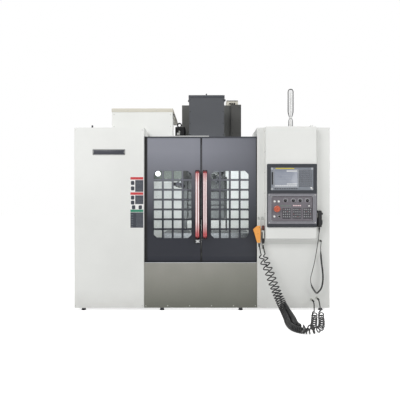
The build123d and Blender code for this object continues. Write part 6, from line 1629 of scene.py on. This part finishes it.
# %% Tool guard and spot lamp
guard_paint = powder("guard_green", "cabinet_grey", tone(68, 73, 68), tone(60, 65, 61), (1.3, 1.8), 0.5)
guard_face, spot_x, spot_z = -0.7680, -0.486, 1.444
guard = joined(
    slab((-0.880, guard_face, 1.360), (-0.215, -0.7660, 1.790), 0.0006),
    slab((-0.880, -0.7665, 1.360), (-0.215, -0.7480, 1.3620), 0.0006),
    slab((-0.217, -0.7665, 1.361), (-0.215, -0.7480, 1.789), 0.0006),
)
piece("tool_guard", guard, "frame", guard_paint)
screws("guard_screws", "front", lattice(np.linspace(-0.85, -0.25, 5), [guard_face], [1.385, 1.775]), "frame")
spot = turned(
    [
        (0.020, 0), (0.028, 0.006), (0.032, 0.012), (0.032, 0.026), (0.030, 0.029), (0.0285, 0.0265),
        (0.0285, 0.020),
    ],
    28,
)
fitted("spot_lamp", "front", spot, (spot_x, guard_face, spot_z), dark_steel)
lens = turned([(0.0283, 0), (0.0283, 0.002), (0.022, 0.0042), (0.011, 0.0056)], 24)
fitted("spot_lens", "front", lens, (spot_x, guard_face - 0.0205, spot_z), lamp_glow)

# %% [markdown]
# ## Magazine
# Twenty-four pots sit round the disc. Each has a bright ring at its mouth,
# and small bare tags mark the tool places. The gear motor behind the disc
# has a finned back.

# %% Pot rings


def on_disc(x, radius, degrees):
    """Spots on a circle round the magazine's axis: y = axis + radius * cos, z = axis + radius * sin."""
    angle = np.radians(degrees)
    return np.column_stack([
        np.full(len(angle), x), spindle_y + radius * np.cos(angle), magazine_z + radius * np.sin(angle),
    ])


magazine_z = 1.760
pot_face, disc_back = -0.6852, -0.5752
places = -90 + 15.0 * np.arange(1, 24)
mouths = on_disc(pot_face, 0.300, places)
mouth = turned([(0.0300, 0), (0.0300, 0.0022), (0.0280, 0.0032), (0.0235, 0.0032), (0.0225, 0.0010)], 24)
open_mouth = (mouth[0], mouth[1][:-2])
fitted("pot_rings", "left", open_mouth, mouths, zinc_steel, "magazine_disc")
tag = plate(0.018, 0.012, [(0, 0), (0.0005, 0.0012)], 0.002, 2)
fitted("pot_tags", "left", tag, on_disc(disc_back, 0.235, places), key_pale, "magazine_disc")
hub_spots = on_disc(disc_back, 0.045, 60.0 * np.arange(6))
screws("hub_bolts", "left", hub_spots, "magazine_disc", 0.0060, dark_steel)
fitted("change_pot_ring", "left", open_mouth, (pot_face, spindle_y, 1.460), zinc_steel, "change_pot")
motor_fin = plate(0.156, 0.156, [(0.0005, 0), (0, 0.0005), (0, 0.0030), (0.0005, 0.0035)], 0.014, 3)
motor_spots = lattice(-0.4560 + 0.0090 * np.arange(6), [spindle_y], [magazine_z])
fitted("gear_motor_fins", "right", motor_fin, motor_spots, dark_steel)
grip_bolts = lattice([-0.300, -0.250], spindle_y + np.array([-0.20, -0.10, 0.10, 0.20]), [1.3182])
screws("arm_bolts", "under", grip_bolts, "changer_arm", 0.0055, dark_steel)
print("pots", len(mouths) + 1)

# %% [markdown]
# ## Sides and roof of the cabinets
# The long side walls are made of two sheets each, with a lapped joint, rows
# of screws and pressed ventilation louvres. The same wedge as on the hood is
# used, only flatter, because these walls are the widest point of the
# machine.

# %% Side walls
wall_y = (-0.98, 0.16)
louvre_steps = 0.024 * np.arange(10)
for side, x, out in (("left", -wall_x, -1), ("right", wall_x, 1)):
    sunk = [x - out * 0.0010]
    spots = np.r_[
        lattice(sunk, wall_y, np.linspace(0.09, 1.86, 11)),
        lattice(sunk, np.linspace(-0.75, -0.05, 5), [0.09, 1.86]),
    ]
    screws(side + "_wall_screws", side, spots, "frame", 0.0036)
    vents = lattice([x], np.linspace(-0.74, -0.02, 5), np.r_[0.30 + louvre_steps, 1.50 + louvre_steps])
    louvres(side + "_wall_louvres", side, vents, "frame", 0.110, white_paint, 0.012, 0.0014)
    lap_low, lap_high = sorted((x, x + out * 0.0008))
    lap = slab((lap_low, -0.4180, 0.036), (lap_high, -0.4120, 1.900), 0.0003)
    piece(side + "_wall_lap", lap, "frame", cabinet_paint)
for side, roof_x, roof_y in (
    ("left", np.linspace(-1.29, -0.64, 6), [-0.80, -1.005]),
    ("right", np.linspace(0.62, 1.29, 6), [-0.65, -0.985]),
):
    screws(side + "_roof_screws", "top", lattice(roof_x, roof_y, [cabinet_top]), "frame")
front_spots = lattice([-1.315, -0.622, 0.592, 1.315], [front], [0.055, 1.882])
screws("front_screws", "front", front_spots, "frame", 0.0036)
stud = turned(
    [
        (0.0115, 0), (0.0115, 0.003), (0.0092, 0.004), (0.0092, 0.014), (0.0085, 0.0150), (0.0085, 0.0265),
        (0.0060, 0.0280),
    ],
    14, (0, 1),
)
fitted("roof_stud_nut", "top", stud, (-1.149, front + 0.030, cabinet_top), dark_steel)
print("side walls", 2)

# %% [markdown]
# The pod of the panel is one rounded box. A fine seam shows where its front
# is welded to the back, rows of screws hold its sides, and the cable comes
# out of a gland on top.

# %% Pod trim
pod_seam = joined(*[
    slab((low, front - 0.0460, 0.735), (high, front - 0.0445, 1.905), 0.0003)
    for low, high in ((0.6474, 0.6482), (1.1708, 1.1716))
])
piece("pod_seams", pod_seam, "frame", cabinet_paint)
pod_lip = slab((0.652, pod_face - 0.0008, 0.7540), (1.167, pod_face + 0.0005, 0.7600), 0.0004)
piece("pod_lip", pod_lip, "frame", cabinet_paint)
for side, x in (("right", 1.1712), ("left", 0.6478)):
    pod_spots = lattice([x], [front - 0.020, front - 0.070], np.linspace(0.80, 1.86, 6))
    screws("pod_screws_" + side, side, pod_spots, "frame", 0.0038)
gland_ring = turned(
    [(0.0165, 0), (0.0165, 0.006), (0.0130, 0.008), (0.0120, 0.012), (0.0060, 0.0155)], 18, (0, 1)
)
fitted("pod_gland_ring", "top", gland_ring, (1.125, front - 0.045, cabinet_top + 0.0005), black_plastic)
print("pod trim done")

# %% [markdown]
# ## Power cabinet
# The drives live in a cabinet on the back of the column. Its door has two
# filter grilles, a rotary main switch on a yellow plate and a bare data
# plate. A grille is a stack of slats inside a frame.

# %% Grilles and main switch
door_back_face = 1.13925
slat = plate(0.150, 0.0075, [(0, 0), (0.0010, 0.0060), (0.0022, 0.0075)], 0.002, 2)
grille_frame = frame_plate((0.180, 0.180), (0.154, 0.154), 0.008, 0.012, 0.006)
grille_x = 0.180
grille_back = plate(0.155, 0.155, [(0, 0), (0.0003, 0.0010)], 0.004)
for name, grille_z in (("upper", 1.780), ("lower", 0.800)):
    middle = (grille_x, door_back_face, grille_z)
    fitted(name + "_grille_frame", "back", grille_frame, middle, black_plastic, "power_door")
    slats = lattice([grille_x], [door_back_face], grille_z + 0.0115 * (np.arange(13) - 6))
    fitted(name + "_grille_slats", "back", slat, slats, black_plastic, "power_door")
    fitted(name + "_grille_back", "back", grille_back, middle, seal_rubber, "power_door")
switch_x, switch_z = -0.150, 1.520
fitted(
    "switch_plate", "back", plate(0.070, 0.070, [(0, 0), (0, 0.003), (0.001, 0.004)], 0.005),
    (switch_x, door_back_face, switch_z), stop_yellow, "power_door",
)
switch = turned([(0.024, 0), (0.024, 0.005), (0.021, 0.007), (0.021, 0.009)], 30)
fitted("switch_ring", "back", switch, (switch_x, door_back_face + 0.004, switch_z), stop_red, "power_door")
bar = plate(0.012, 0.046, [(0.001, 0), (0, 0.002), (0.0005, 0.006), (0.002, 0.008)], 0.005)
fitted("switch_bar", "back", bar, (switch_x, door_back_face + 0.0095, switch_z), stop_red, "power_door")
data_plate = plate(0.120, 0.075, [(0, 0), (0, 0.0006), (0.0006, 0.0011)], 0.003)
fitted("data_plate", "back", data_plate, (grille_x, door_back_face, switch_z), zinc_steel, "power_door")
screws(
    "data_rivets", "back", lattice([0.126, 0.234], [door_back_face + 0.0010], [1.4885, 1.5515]), "power_door",
    0.0022,
)
seam_spots = lattice([-0.335, 0.420], [door_back_face], [0.65, 1.97])
screws("door_corner_screws", "back", seam_spots, "power_door")
print("grilles", 2)

# %% Lifting eyes, glands and cable trunk


def eye_ring(radius, height, thickness):
    """An upright ring: centre line = (radius * sin, 0, height + radius * cos), swept by a circle."""
    turn = np.linspace(0, 2 * np.pi, 28, endpoint=False)
    path = np.stack([radius * np.sin(turn), np.zeros(28), height + radius * np.cos(turn)], -1)
    return swept(path, circle(thickness, 8), up=(0, 1, 0), loop=True)


eyes_at = lattice([-0.25, 0.35], [0.942], [2.000])
bolt_base = turned([(0.020, 0), (0.020, 0.003), (0.012, 0.004), (0.012, 0.010)], 16)
fitted("eye_bases", "top", bolt_base, eyes_at, zinc_steel)
piece("lifting_eyes", repeated(*eye_ring(0.021, 0.029, 0.0055), eyes_at), "frame", zinc_steel)
glands = turned([(0.016, 0), (0.016, 0.007), (0.012, 0.009), (0.012, 0.018), (0.007, 0.024)], 12, (0, 1))
gland_spots = lattice(-0.22 + 0.06 * np.arange(6), [0.850, 0.930], [0.620])
fitted("cabinet_glands", "under", glands, gland_spots, black_plastic)
trunk = joined(
    slab((-0.060, 0.7690, 0.300), (0.160, 0.8350, 0.6195), 0.003),
    slab((-0.064, 0.8340, 0.296), (0.164, 0.8370, 0.6150), 0.001),
)
piece("cable_trunk", trunk, "frame", cabinet_paint)
screws(
    "trunk_screws", "back", lattice([-0.050, 0.150], [0.8370], np.linspace(0.32, 0.59, 4)), "frame", 0.0040
)
for side, x in (("left", -0.350), ("right", 0.450)):
    side_vents = lattice([x], [0.85, 1.03], 1.55 + 0.024 * np.arange(12))
    louvres("cabinet_louvres_" + side, side, side_vents, "frame", 0.110, cabinet_paint)
print("glands", len(gland_spots))

# %% [markdown]
# ## Column and bed
# Bolts and two lifting eyes are what one sees of the castings. The levelling
# feet have a thread between pad and nut, drawn as a stack of fine rings.

# %% Casting bolts, eyes and threads
hex_bolt = turned(
    [(0.026, 0), (0.026, 0.003), (0.0175, 0.0032), (0.0175, 0.014), (0.0160, 0.0155)], 18, (2, 3)
)
fitted(
    "column_pads", "back", hex_bolt, lattice([-0.300, -0.180, 0.280, 0.400], [0.7673], [0.580]), zinc_steel
)
front_bolts = lattice([-0.270, -0.200, 0.300, 0.370], [0.2373], [0.585])
fitted("column_front_bolts", "front", hex_bolt, front_bolts, zinc_steel)
column_eye_base = turned([(0.030, 0), (0.030, 0.004), (0.018, 0.006), (0.014, 0.012)], 20)
column_eyes_at = lattice([-0.200, 0.250], [0.680], [2.4380])
piece("column_eyes", repeated(*eye_ring(0.026, 0.036, 0.0070), column_eyes_at), "frame", zinc_steel)
fitted("column_eye_bases", "top", column_eye_base, column_eyes_at, zinc_steel)
thread_level = np.linspace(0, 0.0215, 29)
thread = [(0.0188 if k % 2 else 0.0178, float(level)) for k, level in enumerate(thread_level)]
bed_feet = lattice([-0.250, 0.350], [front + 0.260, front + 0.760, front + 1.290, front + 1.740], [0.0245])
piece("foot_threads", repeated(*turned(thread, 16), bed_feet), "frame", zinc_steel)
small_feet = lattice([-1.243, -0.420, 0.405, 1.243], [front + 0.045], [0.0])
small_ring = turned([(0.0235, 0), (0.0240, 0.001), (0.0240, 0.007), (0.0215, 0.0095)], 20)
piece("small_foot_pads", repeated(*small_ring, small_feet), "frame", seal_rubber)
print("threads", len(bed_feet))

# %% [markdown]
# ## Studio
# The photograph has a white ground. The floor is a pale matt sheet with a
# little light of its own for the camera and for reflections, so it turns
# white there and still keeps the machine's shadow. The lamps are large and weak, so that a
# colour comes out about as it was written.

# %% Floor


def seen_directly(tree):
    """1 where the camera or a mirror image looks, else 0."""
    rays = put(tree, "LightPath")
    sockets = {0: rays.outputs["Is Camera Ray"], 1: rays.outputs["Is Glossy Ray"]}
    return put(tree, "Math", sockets, operation="MAXIMUM").outputs[0], rays


reach = 30.0
floor_mesh = bpy.data.meshes.new("floor")
across = np.linspace(-reach, reach, 9)
floor_x, floor_y = np.meshgrid(across, across, indexing="ij")
floor_points = np.stack([floor_x, floor_y, np.zeros_like(floor_x)], -1).reshape(-1, 3)
row, column = np.meshgrid(np.arange(8), np.arange(8), indexing="ij")
corner = row * 9 + column
floor_faces = np.stack([corner, corner + 9, corner + 10, corner + 1], -1).reshape(-1, 4)
floor_mesh.from_pydata(floor_points.tolist(), [], floor_faces.tolist())
floor = bpy.data.objects.new("floor", floor_mesh)
bpy.context.scene.collection.objects.link(floor)
floor_paint, tree, shader = blank("floor_white", "white_paint")
shader.inputs["Base Color"].default_value = (0.86, 0.86, 0.86, 1)
shader.inputs["Roughness"].default_value = 0.9
shader.inputs["Specular IOR Level"].default_value = 0.1
seen, rays = seen_directly(tree)
seen = put(tree, "Math", {0: seen, 1: 0.72}, operation="MULTIPLY").outputs[0]
glow = put(tree, "Emission", {"Color": (1, 1, 1, 1), "Strength": seen})
both = put(tree, "AddShader", {0: shader.outputs[0], 1: glow.outputs[0]})
tree.links.new(both.outputs[0], tree.nodes["Material Output"].inputs["Surface"])
floor_mesh.materials.append(floor_paint)
floor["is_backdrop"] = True
print("floor", 2 * reach, "m wide")

# %% World and lamps
world = bpy.data.worlds.new("studio")
bpy.context.scene.world = world
world.use_nodes = True
tree = world.node_tree
seen, rays = seen_directly(tree)
seen = put(tree, "Math", {0: seen, 1: rays.outputs["Is Transmission Ray"]}, operation="MAXIMUM").outputs[0]
level = put(tree, "MapRange", {"Value": seen, "To Min": 0.40, "To Max": 1.0}).outputs["Result"]
tree.links.new(level, tree.nodes["Background"].inputs["Strength"])
tree.nodes["Background"].inputs["Color"].default_value = (1, 1, 1, 1)


def softbox(name, spot, target, size, power):
    """A square area lamp that looks at a target."""
    lamp = bpy.data.objects.new(name, bpy.data.lights.new(name, "AREA"))
    lamp.data.size = size
    lamp.data.energy = power
    lamp.location = spot
    aim = np.array(target, float) - np.array(spot, float)
    lamp.rotation_euler = (
        np.arctan2(np.hypot(aim[0], aim[1]), -aim[2]), 0.0, np.arctan2(-aim[0], aim[1])
    )
    bpy.context.scene.collection.objects.link(lamp)
    return lamp


softbox("key", (-3.2, front - 4.2, 4.6), (0.2, -0.6, 1.0), 3.0, 180)
softbox("fill", (4.2, front - 3.4, 3.0), (0, -0.6, 1.0), 3.0, 80)
softbox("top", (0.0, 0.2, 5.6), (0, 0.2, 0.0), 4.0, 80)
softbox("inside_top", (0.05, -0.40, 1.79), (0.05, -0.30, 0.0), 1.1, 13)
softbox("inside_front", (-0.06, -0.89, 1.15), (-0.06, 0.20, 1.15), 0.94, 13.7)
print("lamps ready")

# %% [markdown]
# ## Sizes
# The visual model stays inside the box of the CAD part, but for 1.6 mm of
# screw heads and louvres at each side and 0.1 mm on top.

# %% Finish
low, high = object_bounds()
print("pieces made:", len(pieces_made))
